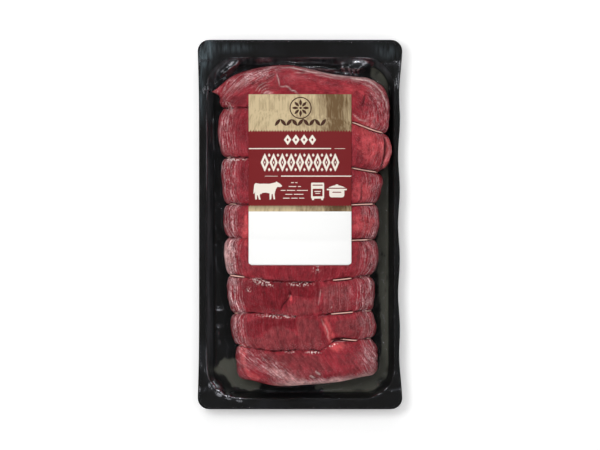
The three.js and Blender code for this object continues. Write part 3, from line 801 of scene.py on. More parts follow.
def beef_material(look):
    """Raw beef muscle, trimmed and tied: moist cut fibre under thin silverskin. The eye sees
    crimson that varies in clouds, pale threads along the fibres that are partly silverskin and partly a
    painted sheen of the film, painted glints below the ties, and painted shade near black in the folds."""
    material, node = new_material("raw_beef_muscle_trimmed")
    masks = {
        name: node("Attribute", output="Fac", attribute_name=name)
        for name in ("pale", "deep", "veil", "fresh", "rind", "fat", "stroke", "sunk")
    }
    place = node("TexCoord", output="Object")
    # Clouds of blood 21 mm across, patches 5 mm across in them, and specks of 1.6 mm.
    clouds = node("TexNoise", {"Vector": place, "Scale": 48, "Detail": 3, "Roughness": 0.6})
    blots = node("TexNoise", {"Vector": place, "Scale": 190, "Detail": 3, "Roughness": 0.62})
    mottle = node("TexNoise", {"Vector": place, "Scale": 620, "Detail": 2, "Roughness": 0.6})
    # The fibres wander a millimetre to and fro.
    grain = node("Attribute", output="Vector", attribute_name="grain")
    sway = node("TexNoise", {"Vector": place, "Scale": 130, "Detail": 2, "Roughness": 0.6}, output="Color")
    grain = node("VectorMath", {0: sway, 1: (3.5, 3, 0), 2: grain}, operation="MULTIPLY_ADD")
    # Noise drawn out to 17 mm along the fibres: gaps between the threads 3 mm apart, faint threads
    # 2 mm apart and bundles of fibres 5 mm apart. Single fibres are 0.7 mm across and 10 mm long.
    drawn_out = []
    for stretch, detail, roughness in (
        ((0.06, 0.33, 1), 2, 0.6),
        ((0.06, 0.5, 1), 2, 0.5),
        ((0.06, 0.2, 1), 3, 0.6),
        ((0.10, 1.4, 1), 2, 0.7),
    ):
        at = node("Mapping", {"Vector": grain, "Scale": stretch})
        pattern = {"Vector": at, "Scale": 1, "Detail": detail, "Roughness": roughness}
        drawn_out.append(node("TexNoise", pattern))
    gaps, waves, bundles, fibres = drawn_out
    # The patches' edges wander with the clouds and the small patches.
    wander = node("Math", {0: clouds, 1: 1.5, 2: -1.4}, operation="MULTIPLY_ADD")
    wander = node("Math", {0: blots, 1: 1.3, 2: wander}, operation="MULTIPLY_ADD")
    skin = look.lean
    for name, stray, strength in (("deep", 0.6, 0.85), ("veil", -0.5, 0.75), ("fresh", 0.28, 0.85)):
        share = node("Math", {0: wander, 1: stray, 2: masks[name]}, operation="MULTIPLY_ADD")
        share = {"Value": share, "From Min": 0.2, "From Max": 0.8}
        share = node("MapRange", share, interpolation_type="SMOOTHSTEP")
        share = node("Math", {0: share, 1: strength}, operation="MULTIPLY")
        skin = node("Mix", {"Factor": share, "A": skin, "B": getattr(look, name)}, data_type="RGBA")
    share = node("Math", {0: masks["pale"], 1: 0.6}, operation="MULTIPLY")
    skin = node("Mix", {"Factor": share, "A": skin, "B": look.deep}, data_type="RGBA")
    # Pale threads along the fibres, partly silverskin and partly a painted sheen of the film on the
    # flanks: wandering lines 2.6 mm apart that come and go, and finer ones where the drawn-out noise
    # crosses its middle.
    lines_at = node("Mapping", {"Vector": grain, "Scale": (0.09, 1, 1)})
    lines = {
        "Vector": lines_at, "Scale": 0.12, "Distortion": 9,
        "Detail": 2, "Detail Scale": 2.2, "Detail Roughness": 0.6,
    }
    lines = node("TexWave", lines, output="Fac", bands_direction="Y")
    lines = node("MapRange", {"Value": lines, "From Min": 0.6, "From Max": 0.92})
    shown = node("MapRange", {"Value": gaps, "From Min": 0.40, "From Max": 0.56})
    lines = node("Math", {0: lines, 1: shown}, operation="MULTIPLY")
    threads = node("Math", {0: waves, 1: 0.5}, operation="SUBTRACT")
    threads = node("Math", {0: threads}, operation="ABSOLUTE")
    threads = node("MapRange", {"Value": threads, "From Min": 0.05, "From Max": 0.02})
    threads = node("Math", {0: threads, 1: 0.6}, operation="MULTIPLY")
    streak = node("Math", {0: lines, 1: threads}, operation="MAXIMUM")
    share = node("Math", {0: masks["pale"], 1: 1.15, 2: 0.03}, operation="MULTIPLY_ADD")
    streak = node("Math", {0: streak, 1: share}, operation="MULTIPLY")
    dashes = {"Value": mottle, "From Min": 0.4, "From Max": 0.56, "To Min": 0.38, "To Max": 1.1}
    dashes = node("MapRange", dashes)
    streak = node("Math", {0: streak, 1: dashes}, operation="MULTIPLY", use_clamp=True)
    skin = node("Mix", {"Factor": streak, "A": skin, "B": look.silverskin_and_sheen}, data_type="RGBA")
    # Fat: a broken rind along the ends, and torn threads; the flecks are mostly painted glints just
    # below the ties, with some fat.
    broken = node("MapRange", {"Value": blots, "From Min": 0.36, "From Max": 0.52, "To Min": 0.55})
    rind = node("Math", {0: masks["rind"], 1: broken}, operation="MULTIPLY")
    skin = node("Mix", {"Factor": rind, "A": skin, "B": look.rind}, data_type="RGBA")
    speck = node("MapRange", {"Value": mottle, "From Min": 0.52, "From Max": 0.58})
    speck = node("Math", {0: speck, 1: masks["fat"]}, operation="MULTIPLY", use_clamp=True)
    speck = node("Math", {0: speck, 1: masks["stroke"]}, operation="MAXIMUM")
    skin = node("Mix", {"Factor": speck, "A": skin, "B": look.fat}, data_type="RGBA")
    # Painted shade: dark lines in the fine cracks between bundles of fibres.
    parting = node("Math", {0: gaps, 1: 0.5}, operation="SUBTRACT")
    parting = node("Math", {0: parting}, operation="ABSOLUTE")
    parting = node("MapRange", {"Value": parting, "From Min": 0.022, "From Max": 0.006})
    parting = node("Math", {0: parting, 1: 0.4}, operation="MULTIPLY")
    skin = node("Mix", {"Factor": parting, "A": skin, "B": look.shadow}, data_type="RGBA")
    # All the patterns make the skin lighter and darker; the fibres do so most where it is pale.
    share = node("Math", {0: masks["pale"], 1: 1.1, 2: 0.2}, operation="MULTIPLY_ADD")
    tone = node("Math", {0: fibres, 1: 0.5}, operation="SUBTRACT")
    tone = node("Math", {0: tone, 1: share}, operation="MULTIPLY")
    for pattern, share in ((clouds, 0.8), (blots, 1.05), (bundles, 1.25), (mottle, 0.45)):
        swing = node("Math", {0: pattern, 1: 0.5}, operation="SUBTRACT")
        tone = node("Math", {0: swing, 1: share, 2: tone}, operation="MULTIPLY_ADD")
    tone = node("Math", {0: tone, 1: 1.0}, operation="ADD")
    toned = {"Factor": 1.0, "A": skin, "B": tone}
    skin = node("Mix", toned, data_type="RGBA", blend_type="MULTIPLY")
    # Painted shade: near black in the folds and over the cuts, by how deep they lie.
    skin = node("Mix", {"Factor": masks["sunk"], "A": skin, "B": look.shadow}, data_type="RGBA")
    height = node("Math", {0: fibres, 1: mottle}, operation="ADD")
    bump = node("Bump", {"Height": height, "Strength": 0.5, "Distance": 0.0004})
    rough = node("MapRange", {"Value": mottle, "To Min": 0.42, "To Max": 0.62})
    # Red light goes nearly 3 mm into the meat.
    depths = (0.0026, 0.0009, 0.0008)
    surface = {
        "Base Color": skin, "Roughness": rough, "IOR": 1.38, "Specular IOR Level": 0.15,
        "Subsurface Weight": 0.10, "Subsurface Radius": depths, "Subsurface Scale": 1.0,
        "Normal": bump,
    }
    surface = node("BsdfPrincipled", surface)
    node("OutputMaterial", {"Surface": surface})
    return material


def twine_material(look):
    """Cotton butcher's twine, three strands laid together and wet with juice: matt, salmon where it
    stands up and browner between its strands."""
    material, node = new_material("cotton_twine_wet")
    hollow = node("Attribute", output="Fac", attribute_name="hollow")
    place = node("TexCoord", output="Object")
    fuzz = node("TexNoise", {"Vector": place, "Scale": 900, "Detail": 2, "Roughness": 0.6})
    soak = node("TexNoise", {"Vector": place, "Scale": 60, "Detail": 1})
    share = node("Math", {0: hollow, 1: 0.6, 2: -0.05}, operation="MULTIPLY_ADD")
    share = node("Math", {0: soak, 1: 0.5, 2: share}, operation="MULTIPLY_ADD", use_clamp=True)
    tint = node("Mix", {"Factor": share, "A": look.yarn, "B": look.soaked}, data_type="RGBA")
    bump = node("Bump", {"Height": fuzz, "Strength": 0.5, "Distance": 0.0002})
    surface = node(
        "BsdfPrincipled",
        {"Base Color": tint, "Roughness": 0.75, "Specular IOR Level": 0.3, "Normal": bump},
    )
    node("OutputMaterial", {"Surface": surface})
    return material


def tray_material(look):
    """Black polyester sheet, thermoformed: smooth and near black, with a faint haze on the flange,
    painted reflections on the flange's corners and on the left and top walls, and painted light on the
    floor where light reaches it."""
    material, node = new_material("black_polyester_thermoformed")
    place = node("TexCoord", output="Object")
    dry = node("Attribute", output="Fac", attribute_name="dry")
    haze = node("TexNoise", {"Vector": place, "Scale": 26, "Detail": 4, "Roughness": 0.6})
    share = node("MapRange", {"Value": haze, "From Min": 0.46, "From Max": 0.74, "To Max": 0.6})
    tint = node("Mix", {"Factor": share, "A": look.plastic, "B": look.bloom}, data_type="RGBA")
    # A painted reflection of the film lies on the flange's corner in upright streaks 2.5 mm apart, and
    # on the left and top walls in upright streaks 3 mm apart.
    for name, stretch, detail, shown in (
        ("rubbed", (400, 60, 40), 3, {"From Min": 0.35, "From Max": 0.7}),
        ("drawn", (330, 30, 40), 2, {"From Min": 0.3, "From Max": 0.7, "To Min": 0.3}),
    ):
        at = node("Mapping", {"Vector": place, "Scale": stretch})
        streaks = node("TexNoise", {"Vector": at, "Scale": 1, "Detail": detail})
        streaks = node("MapRange", {"Value": streaks, **shown})
        mask = node("Attribute", output="Fac", attribute_name=name)
        share = node("Math", {0: mask, 1: streaks}, operation="MULTIPLY")
        tint = node("Mix", {"Factor": share, "A": tint, "B": getattr(look, name)}, data_type="RGBA")
    # Painted light: the floor takes a paler colour where light reaches it past the joint.
    tint = node("Mix", {"Factor": dry, "A": tint, "B": look.lit_floor_colour}, data_type="RGBA")
    grit = node("TexNoise", {"Vector": place, "Scale": 700, "Detail": 2})
    bump = node("Bump", {"Height": grit, "Strength": 0.12, "Distance": 0.0002})
    rough = node("MapRange", {"Value": haze, "To Min": 0.38, "To Max": 0.55})
    surface = node(
        "BsdfPrincipled",
        {"Base Color": tint, "Roughness": rough, "Specular IOR Level": 0.1, "Normal": bump},
    )
    node("OutputMaterial", {"Surface": surface})
    return material


def film_material(look):
    """Clear skin film, heated and drawn down by vacuum: glossy where it hangs free, and broken into
    a soft sheen where it clings to the meat's fibres."""
    material, node = new_material("skin_film_vacuum_drawn")
    cling = node("Attribute", output="Fac", attribute_name="cling")
    grain = node("Attribute", output="Vector", attribute_name="grain")
    place = node("TexCoord", output="Object")
    # Ridges 1.6 mm apart over the fibres; slack ripples 3 mm across and 26 mm long where the film
    # is free.
    ridges_at = node("Mapping", {"Vector": grain, "Scale": (0.07, 0.62, 1)})
    ridges = node("TexNoise", {"Vector": ridges_at, "Scale": 1, "Detail": 3, "Roughness": 0.6})
    slack_at = node("Mapping", {"Vector": place, "Scale": (300, 38, 110)})
    slack = node("TexNoise", {"Vector": slack_at, "Scale": 1, "Detail": 2, "Roughness": 0.5})
    height = node("Mix", {"Factor": cling, "A": slack, "B": ridges}, data_type="FLOAT")
    bump = node("Bump", {"Height": height, "Strength": 0.5, "Distance": 0.0004})
    rough = node("MapRange", {"Value": cling, "To Min": 0.08, "To Max": 0.14})
    facing = node("LayerWeight", {"Blend": 0.5, "Normal": bump}, output="Facing")
    steep = node("Math", {0: facing, 1: 5}, operation="POWER")
    # Where the film is welded to the flange, or clings to meat with juice between them, only its
    # outer face shines.
    sealed = node("Attribute", output="Fac", attribute_name="sealed")
    head_on = node("Mix", {"Factor": sealed, "A": look.reflection, "B": look.clinging}, data_type="FLOAT")
    # Crumpled film doubles over, and spreads its shine.
    crumpled = node("Attribute", output="Fac", attribute_name="crumpled")
    head_on = node("Math", {0: crumpled, 1: look.crumple, 2: head_on}, operation="MULTIPLY_ADD")
    rough = node("Math", {0: crumpled, 1: 0.13, 2: rough}, operation="MULTIPLY_ADD")
    share = node("Math", {0: steep, 1: 0.15, 2: head_on}, operation="MULTIPLY_ADD", use_clamp=True)
    clear = node("BsdfTransparent")
    gloss = node("BsdfGlossy", {"Color": (0.8, 0.81, 0.88, 1), "Roughness": rough, "Normal": bump})
    surface = node("MixShader", {0: share, 1: clear, 2: gloss})
    node("OutputMaterial", {"Surface": surface})
    return material


def label_material(look):
    """Coated label paper, printed in flat inks: a white field, a deep red field with cream rules and
    small signs, and a printed strip of plank with a pinked edge."""
    material, node = new_material("label_paper_coated_printed")
    place = node("TexCoord", output="Object")
    in_mm = node("VectorMath", {0: place, "Scale": 1000.0}, operation="SCALE")
    split = node("SeparateXYZ", {"Vector": in_mm}, output="X")
    x, y = split, split.node.outputs["Y"]
    # The planks' grain: lines 1.8 mm apart running up the label, and broad dark bands.
    grain_at = node("Mapping", {"Vector": in_mm, "Scale": (0.55, 0.03, 1)})
    grain = node("TexNoise", {"Vector": grain_at, "Scale": 1, "Detail": 5, "Roughness": 0.65})
    bands_at = node("Mapping", {"Vector": in_mm, "Scale": (0.07, 0.012, 1)})
    bands = node("TexNoise", {"Vector": bands_at, "Scale": 1, "Detail": 2})
    grain = node("MapRange", {"Value": grain, "From Min": 0.3, "From Max": 0.75})
    # The right side is darker, and darkest in a band 31 mm from the middle.
    side = {"Value": x, "From Min": -12, "From Max": 34, "To Min": -0.28, "To Max": 0.25}
    side = node("MapRange", side)
    from_band = node("Math", {0: x, 1: 31.0}, operation="SUBTRACT")
    from_band = node("Math", {0: from_band}, operation="ABSOLUTE")
    band = {"Value": from_band, "From Min": 14, "From Max": 1, "To Max": 0.5}
    band = node("MapRange", band, interpolation_type="SMOOTHSTEP")
    side = node("Math", {0: side, 1: band}, operation="ADD")
    share = node("Math", {0: grain, 1: side}, operation="ADD")
    share = node("Math", {0: share, 1: -0.45}, operation="ADD")
    share = node("Math", {0: bands, 1: 0.7, 2: share}, operation="MULTIPLY_ADD", use_clamp=True)
    wood = node("Mix", {"Factor": share, "A": look.wood_light, "B": look.wood_dark}, data_type="RGBA")
    # From the bottom up: bare paper, a strip of wood in the red field's shadow, the red field, and
    # the wood at the top. The red field's two edges are pinked with a 2.4 mm pitch.
    shade = {"Value": y, "From Min": 12.5, "From Max": 16.4, "To Min": 1.0, "To Max": 0.5}
    shade = node("MapRange", shade)
    shaded = {"Factor": 1.0, "A": wood, "B": shade}
    strip = node("Mix", shaded, data_type="RGBA", blend_type="MULTIPLY")
    teeth = node("Math", {0: x, 1: 1.2}, operation="PINGPONG")
    ink = look.paper
    for tooth, edge, field in ((0.0, 11.4, strip), (0.9, 16.9, look.band), (1.4, 82.7, wood)):
        above = node("Math", {0: teeth, 1: tooth, 2: y}, operation="MULTIPLY_ADD")
        above = node("Math", {0: above, 1: edge}, operation="GREATER_THAN")
        ink = node("Mix", {"Factor": above, "A": ink, "B": field}, data_type="RGBA")
    worn = node("TexNoise", {"Vector": in_mm, "Scale": 0.9, "Detail": 3})
    for name, tint in (("cream", look.cream), ("brown", look.brown)):
        away = node("Attribute", output="Fac", attribute_name=name)
        edge = node("Math", {0: away, 1: -0.12}, operation="ADD")
        edge = node("Math", {0: worn, 1: 0.25, 2: edge}, operation="MULTIPLY_ADD")
        inked = node("Math", {0: edge, 1: 0.0}, operation="LESS_THAN")
        ink = node("Mix", {"Factor": inked, "A": ink, "B": tint}, data_type="RGBA")
    fibre = node("TexNoise", {"Vector": place, "Scale": 1500, "Detail": 2})
    bump = node("Bump", {"Height": fibre, "Strength": 0.1, "Distance": 0.0001})
    surface = node(
        "BsdfPrincipled",
        {"Base Color": ink, "Roughness": 0.55, "Specular IOR Level": 0.25, "Normal": bump},
    )
    node("OutputMaterial", {"Surface": surface})
    return material


def floor_material(look):
    """Matt white studio board, lit a little from behind."""
    material, node = new_material("studio_board_matt_white")
    place = node("TexCoord", output="Object")
    tooth = node("TexNoise", {"Vector": place, "Scale": 300, "Detail": 2})
    bump = node("Bump", {"Height": tooth, "Strength": 0.05, "Distance": 0.0002})
    surface = node(
        "BsdfPrincipled",
        {
            "Base Color": look.floor,
            "Roughness": 0.9,
            "Specular IOR Level": 0.1,
            "Normal": bump,
            "Emission Color": (1, 1, 1, 1),
            "Emission Strength": look.glow,
        },
    )
    node("OutputMaterial", {"Surface": surface})
    return material


# ---------------------------------------------------------------- operators

# Where the muscle is pale (partly silverskin, partly a painted sheen), deep red, veiled, freshly
# cut, or flecked (mostly painted glints, some fat): soft spots as x, y, radii, turn and amount, and
# patches as an amount and an outline.
PALE_SPOTS = [
    (-46, 127.5, 27, 6, 25, 0.8),
    (-34, 131, 15, 5, 14, 0.6),
    (38, 132, 36, 4, -11, 0.5),
    (-28, -124, 26, 8, -31, 0.55),
    (20, -138, 30, 3.4, 5, 0.85),
    (-63, -28, 6, 14, 0, 0.5),
    (60, -118, 9, 13, 0, 0.45),
    (38, -64, 18, 12, 0, 0.12),
    (62, 92, 8, 9, 0, 0.2),
    (66, 112, 5, 9, 20, 0.3),
]
DEEP_SPOTS = [
    (-46, 46, 9, 16, 0, 0.8),
    (-58, 109, 9, 4, 10, 0.6),
    (-58, 78, 6, 16, 0, 0.4),
    (-12, -118, 16, 6, 0, 0.35),
    (-48, 84, 7, 14, 0, 0.85),
    (56, 30, 4, 10, 0, 0.3),
]
FRESH_SPOTS = [
    (-77, 116, 5, 4, 0, 0.8),
    (44, 118, 24, 9, -8, 0.4),
    (56, 90, 16, 12, 0, 0.5),
    (60, 66, 14, 17, 0, 0.6),
    (56, 0, 13, 12, 0, 0.65),
    (54, 30, 13, 12, 0, 0.6),
    # The flap on the right flank: fresh cut, and painted brighter to stand in for light on its side, which
    # gets little light.
    (78, 61, 6, 17, 0, 0.9),
    (20, -140, 34, 5, 4, 0.7),
    (-8.8, -64, 2.2, 3, 20, 1.0),
]
# Mostly painted glints of the film just below the ties, and a few flecks of fat.
GLINT_AND_FAT_SPOTS = [
    (-35, -50, 6.5, 2.4, -14, 1.0),
    (-27, -52.4, 4, 1.6, -20, 0.8),
    (0, -52, 9, 1.7, 0, 0.8),
    (-45, -57, 2, 2, 0, 0.5),
    (-21, -80.2, 15, 1.5, -2, 0.8),
    (-9, -111.6, 3.4, 0.9, 0, 1.0),
    (12, -112, 6, 1.2, 0, 0.7),
    (28, -106.2, 5, 0.8, 20, 0.8),
    (-56, 57, 9, 1.4, 0, 0.7),
    (14.5, -39, 3, 3, -40, 0.5),
    (-62, 104, 3, 4, 20, 0.4),
]
RIND_SPOTS = [
    (-64, -28, 4.5, 13, 0, 0.55),
    (-52, 123, 12, 2.5, 28, 0.2),
    (30, -140, 26, 3, 4, 0.6),
    (-28, 115, 4, 1.5, 0, 0.5),
    (-17, -131, 13, 3.5, -22, 0.35),
]
# Thin lines of fat and torn skin: path, half width and amount.
FAT_STROKES = [
    ([(-9.2, -61.8), (-8.6, -63.6)], 0.8, 0.6),
    ([(27.2, -72.3), (28.1, -72.8)], 0.6, 0.6),
    ([(18.2, -56), (17.4, -63), (16, -71)], 0.5, 0.3),
    ([(13.2, -128.6), (18, -131.8)], 0.55, 1.0),
    ([(8.4, -132.6), (13.4, -134.6)], 0.55, 0.9),
    ([(-39.2, 116.3), (-36.3, 120.8), (-31.2, 123.9), (-25.3, 124.3)], 0.28, 0.4),
    ([(-36.9, 115.4), (-34.6, 119.1), (-30.4, 121.6), (-25.8, 121.9)], 0.28, 0.45),
    ([(-34.5, 114.6), (-32.8, 117.3), (-29.7, 119.2), (-26.2, 119.4)], 0.28, 0.45),
    ([(-32, 114), (-30.8, 115.5), (-28.9, 116.8), (-26.6, 116.9)], 0.3, 0.5),
    ([(-20.4, 131), (-18.9, 127), (-18.3, 123.6), (-18, 121)], 0.4, 0.55),
    ([
        (-18.4, 121.4), (-15.5, 120.6), (-12, 121.2), (-9.4, 119.8),
        (-7.8, 117.6), (-4.6, 116.8), (-1.5, 114),
    ], 0.5, 0.75),
    ([(18.5, -82), (20.5, -87.5), (22, -88.5), (24.5, -95), (24, -98), (26.4, -101)], 0.5, 0.45),
    ([(27, -103), (31, -101.6), (36, -102.6), (40, -102)], 0.5, 0.4),
    ([(46, 97), (52, 92), (60, 90)], 0.5, 0.45),
    ([(-19, 137.5), (-8, 137.4), (0, 136), (11, 133.4), (22, 132.4), (33, 130.8), (46, 128.8)], 0.55, 0.75),
    ([(12, 131.2), (20, 130.4), (28, 128.8), (38, 127.6)], 0.45, 0.5),
    ([(-6, 133.6), (2, 132.6), (9, 132.8)], 0.4, 0.35),
    ([(40, 129.2), (52, 127.6), (60, 126), (66, 122.6), (71.6, 116), (75.6, 108), (76.8, 100)], 0.55, 0.7),
    ([(54, 124), (61, 121), (67, 115), (71, 107)], 0.45, 0.4),
    ([(-62, 107), (-60, 101), (-59, 95)], 0.6, 0.5),
]
DEEP_PATCHES = [
    (0.8, [(-53, -50), (-33, -47), (-15, -48), (-16, -66), (-22, -76), (-46, -75), (-54, -66)]),
    (1.0, [
        (-46.6, -86), (-26.4, -81.4), (-3.5, -83), (-3.5, -92.8), (-15, -89.3), (-25.5, -90.2),
        (-34.3, -95.5), (-39.6, -99), (-46.6, -96.4),
    ]),
    (0.85, [(-17, -48), (16, -49), (18, -62), (6, -65), (-4, -62.5), (-10.6, -67.3), (-16, -66)]),
    (1.0, [(-27, -50), (-10, -50), (-10.5, -62), (-17, -77), (-24, -77), (-27, -64)]),
    (0.5, [(-37, -36.5), (37, -36.5), (33, -46), (10.6, -49.7), (-26, -46)]),
    (0.9, [(-72, 112), (-60, 114), (-46, 113.5), (-46, 105), (-64, 104)]),
    (0.6, [(5, -82), (17.6, -83), (22, -94.6), (25.5, -103.4), (19.4, -105), (10.6, -96.4)]),
    (0.55, [(-19, 113), (0, 114.5), (-3, 117), (-15, 117)]),
    (0.35, [
        (-15, 137.7), (-20, 131.6), (-19.4, 118), (-11.4, 119.2), (-2.6, 114), (30.8, 114),
        (33.4, 127), (17.6, 131.5), (0, 135),
    ]),
]
VEIL_PATCHES = [
    (0.9, [
        (-52, -99), (-44, -99), (-38.7, -100), (-33.4, -96.4), (-25.5, -91), (-15, -89.3),
        (-4.4, -93.7), (-2.6, -107.8), (-8.8, -110.4), (-33.4, -109.6), (-47.5, -106),
    ]),
    (0.9, [(-2.6, -82.3), (16, -82.3), (18, -92.8), (20, -105), (15.8, -110.4), (-1.8, -108.7)]),
    (0.75, [(30, -84), (67, -79), (68, -97), (46, -100), (32.6, -99), (30.8, -91)]),
    (0.8, [(18.5, -54), (44, -51.5), (46, -74.4), (33.4, -77), (19.4, -79)]),
    (0.75, [(-15, -78), (-9.7, -69), (-1.8, -64.7), (15.8, -64.7), (17.6, -79), (0, -79.6)]),
    (0.45, [(-47.5, -73.5), (-33.4, -70.8), (-16.7, -72.6), (-15.8, -79), (-44, -78)]),
    (0.7, [
        (-37, -112), (0, -114), (19.4, -114), (24, -124.5),
        (19.4, -134), (-3.5, -137), (-21, -130), (-33, -121),
    ]),
    (0.6, [(-42, 123.6), (-21, 134), (-17.6, 117), (-44, 115.7)]),
    (0.5, [(20, -114), (56, -112), (58, -126), (46, -130), (20, -129)]),
]
FRESH_PATCHES = [
    (1.0, [
        (17.6, -81.4), (23.8, -80.5), (27.3, -89.3), (30, -100),
        (27.3, -106), (24.6, -102.5), (21, -92.8),
    ]),
    (0.75, [
        (25.5, -107.8), (29, -103.4), (35.2, -101.6), (41.4, -102.5),
        (44, -106), (37, -110.4), (29, -111.3),
    ]),
    (0.9, [
        (74.8, 77), (78.3, 72.6), (80.1, 65.6), (79.2, 56.8), (75.7, 49.7), (73, 46.2),
        (73.9, 56.8), (74.8, 67.3),
    ]),
    (1.0, [(-50, 7.5), (-45.8, 9.2), (-45.8, -19), (-49.3, -17), (-51, -5)]),
    (0.85, [
        (-52.8, -103.4), (-47.5, -106), (-47.5, -119), (-44, -130), (-33.4, -135), (-42, -137),
        (-50, -128), (-53.7, -115.7),
    ]),
    (0.9, [(-33, -137), (-17.6, -140), (0, -141), (9, -143), (-9, -145), (-28, -142)]),
    (0.3, [
        (-17.6, 133), (0, 134), (26.4, 129), (40.5, 123), (44, 115), (-1.8, 115.7), (-7, 121),
        (-15, 121.9), (-18.5, 128.9),
    ]),
]
# How pale each lobe's edges are, from the bottom end: partly silverskin, partly painted light and
# sheen on the steep flanks, which get less light.
PALE_EDGES = {
    "left": [0.3, 0.6, 0.85, 1.0, 1.0, 0.75, 0.42, 0.1],
    "right": [0.3, 0.45, 0.75, 0.5, 0.4, 0.35, 0.15, 0.34],
}


def level(x, y, spots, outlines):
    """From 0 to 1, with a ramp 4.5 mm wide over the edge of each outline, which strays."""
    result = patches(x, y, spots)
    stray = 1.8 * layered(x / 8, y / 8, 63)
    for amount, outline in outlines:
        away = outline_distance(x, y, outline) + stray
        result = np.maximum(result, amount * np.clip(0.5 - away / 4.5, 0, 1))
    return result


def beef_masks(shape):
    """Where the joint's skin is pale (silverskin and a painted sheen), deep red, veiled, freshly cut,
    flecked (fat and painted glints) or sunk (painted shade), as 0 to 1.
    """
    x, y = shape["base"][..., 0], shape["base"][..., 1]
    u, lobe = shape["place"]["u"], shape["lobe"]
    left = smooth_step(-0.76, -0.92, u) * np.array(PALE_EDGES["left"])[lobe]
    right = smooth_step(0.70, 0.92, u) * np.array(PALE_EDGES["right"])[lobe]
    uneven = 0.75 + 0.5 * layered(x / 9, y / 9, 61)
    pale = np.clip((left + right + patches(x, y, PALE_SPOTS)) * uneven, 0, 1)
    strokes = np.zeros_like(x)
    for path, width, amount in FAT_STROKES:
        away, share = near_path(x, y, path)
        line = amount * np.exp(-((away / width) ** 2)) * tapered(share)
        strokes = np.maximum(strokes, line * (0.75 + 0.5 * layered(x / 1.6, y / 1.6, 67, 2)))
    # A rind of fat lies along the bottom end, but for its left, and a thinner one at the top right.
    lines = shape["place"]["lines"]
    strays = 1 + 0.6 * layered(x / 7, y / 7, 65)
    rind = np.exp(-(((y - lines[0]) / (4.2 * strays)) ** 2)) * smooth_step(-30, -4, x)
    rind += 0.7 * np.exp(-(((lines[-1] - y) / (3.4 * strays)) ** 2)) * smooth_step(-10, 20, x)
    return {
        "pale": pale,
        "deep": level(x, y, DEEP_SPOTS, DEEP_PATCHES),
        "veil": level(x, y, [], VEIL_PATCHES),
        "fresh": level(x, y, FRESH_SPOTS, FRESH_PATCHES),
        "fat": np.clip(1.3 * patches(x, y, GLINT_AND_FAT_SPOTS), 0, 1),
        "stroke": np.clip(strokes, 0, 1),
        "rind": np.clip(rind + patches(x, y, RIND_SPOTS), 0, 1),
        # Painted shade in the folds and over the cuts.
        "sunk": 0.86 * smooth_step(0.35, 1.6, shape["sunk"]),
    }


class ROASTPACK_OT_beef(bpy.types.Operator):
    """Builds the beef joint: lobes between the ties, folds, layers of muscle and fibres"""

    bl_idname = "roastpack.beef"
    bl_label = "Beef joint"

    def execute(self, context):
        look = context.scene.roast_pack_beef
        shape = joint_shape()
        rows, columns = ROWS + 1, COLUMNS + 1
        index = numbered(rows, columns)
        faces = cells(index).tolist()
        # The underside is coarser: each of its columns meets every ninth one of the upper skin.
        turned = 2 * np.pi - shape["columns"][::UNDER_STRIDE][1:-1][::-1]
        inner_rows = slice(1, rows - 1)
        theta, t = np.meshgrid(turned, shape["rows"][inner_rows])
        lower = joint_skin(theta, t, 0.0 * t)
        low_index = numbered(*theta.shape, start=index.size)
        ring = np.concatenate([index[inner_rows, -1:], low_index, index[inner_rows, :1]], axis=1)
        faces += cells(ring).tolist()
        for row, end in ((0, index[0]), (-1, index[-1])):
            for i in range(ring.shape[1] - 1):
                stop = columns - 1 - UNDER_STRIDE * i
                along_end = end[stop - UNDER_STRIDE : stop + 1].tolist()
                cell = [ring[row, i + 1], ring[row, i]]
                faces.append(along_end[::-1] + cell if row == 0 else along_end + cell[::-1])
        points = np.concatenate([shape["solid"].reshape(-1, 3), lower.reshape(-1, 3)])
        beneath = {"pale": 0.3, "deep": 0.4, "veil": 0.2}
        masks = {
            name: np.concatenate([values.ravel(), np.full(theta.size, beneath.get(name, 0.0))])
            for name, values in beef_masks(shape).items()
        }
        over = np.stack([shape["along"], shape["across"], 7.0 * shape["lobe"]], -1)
        under = np.stack([lower[..., 1], HALF_WIDTH * (theta - np.pi / 2), 0 * t], -1)
        masks["grain"] = np.concatenate([over.reshape(-1, 3), under.reshape(-1, 3)])
        piece = make_piece("beef", points, faces, beef_material(look), masks)
        dress(piece, "raw_beef", "beef_joint")
        return {"FINISHED"}


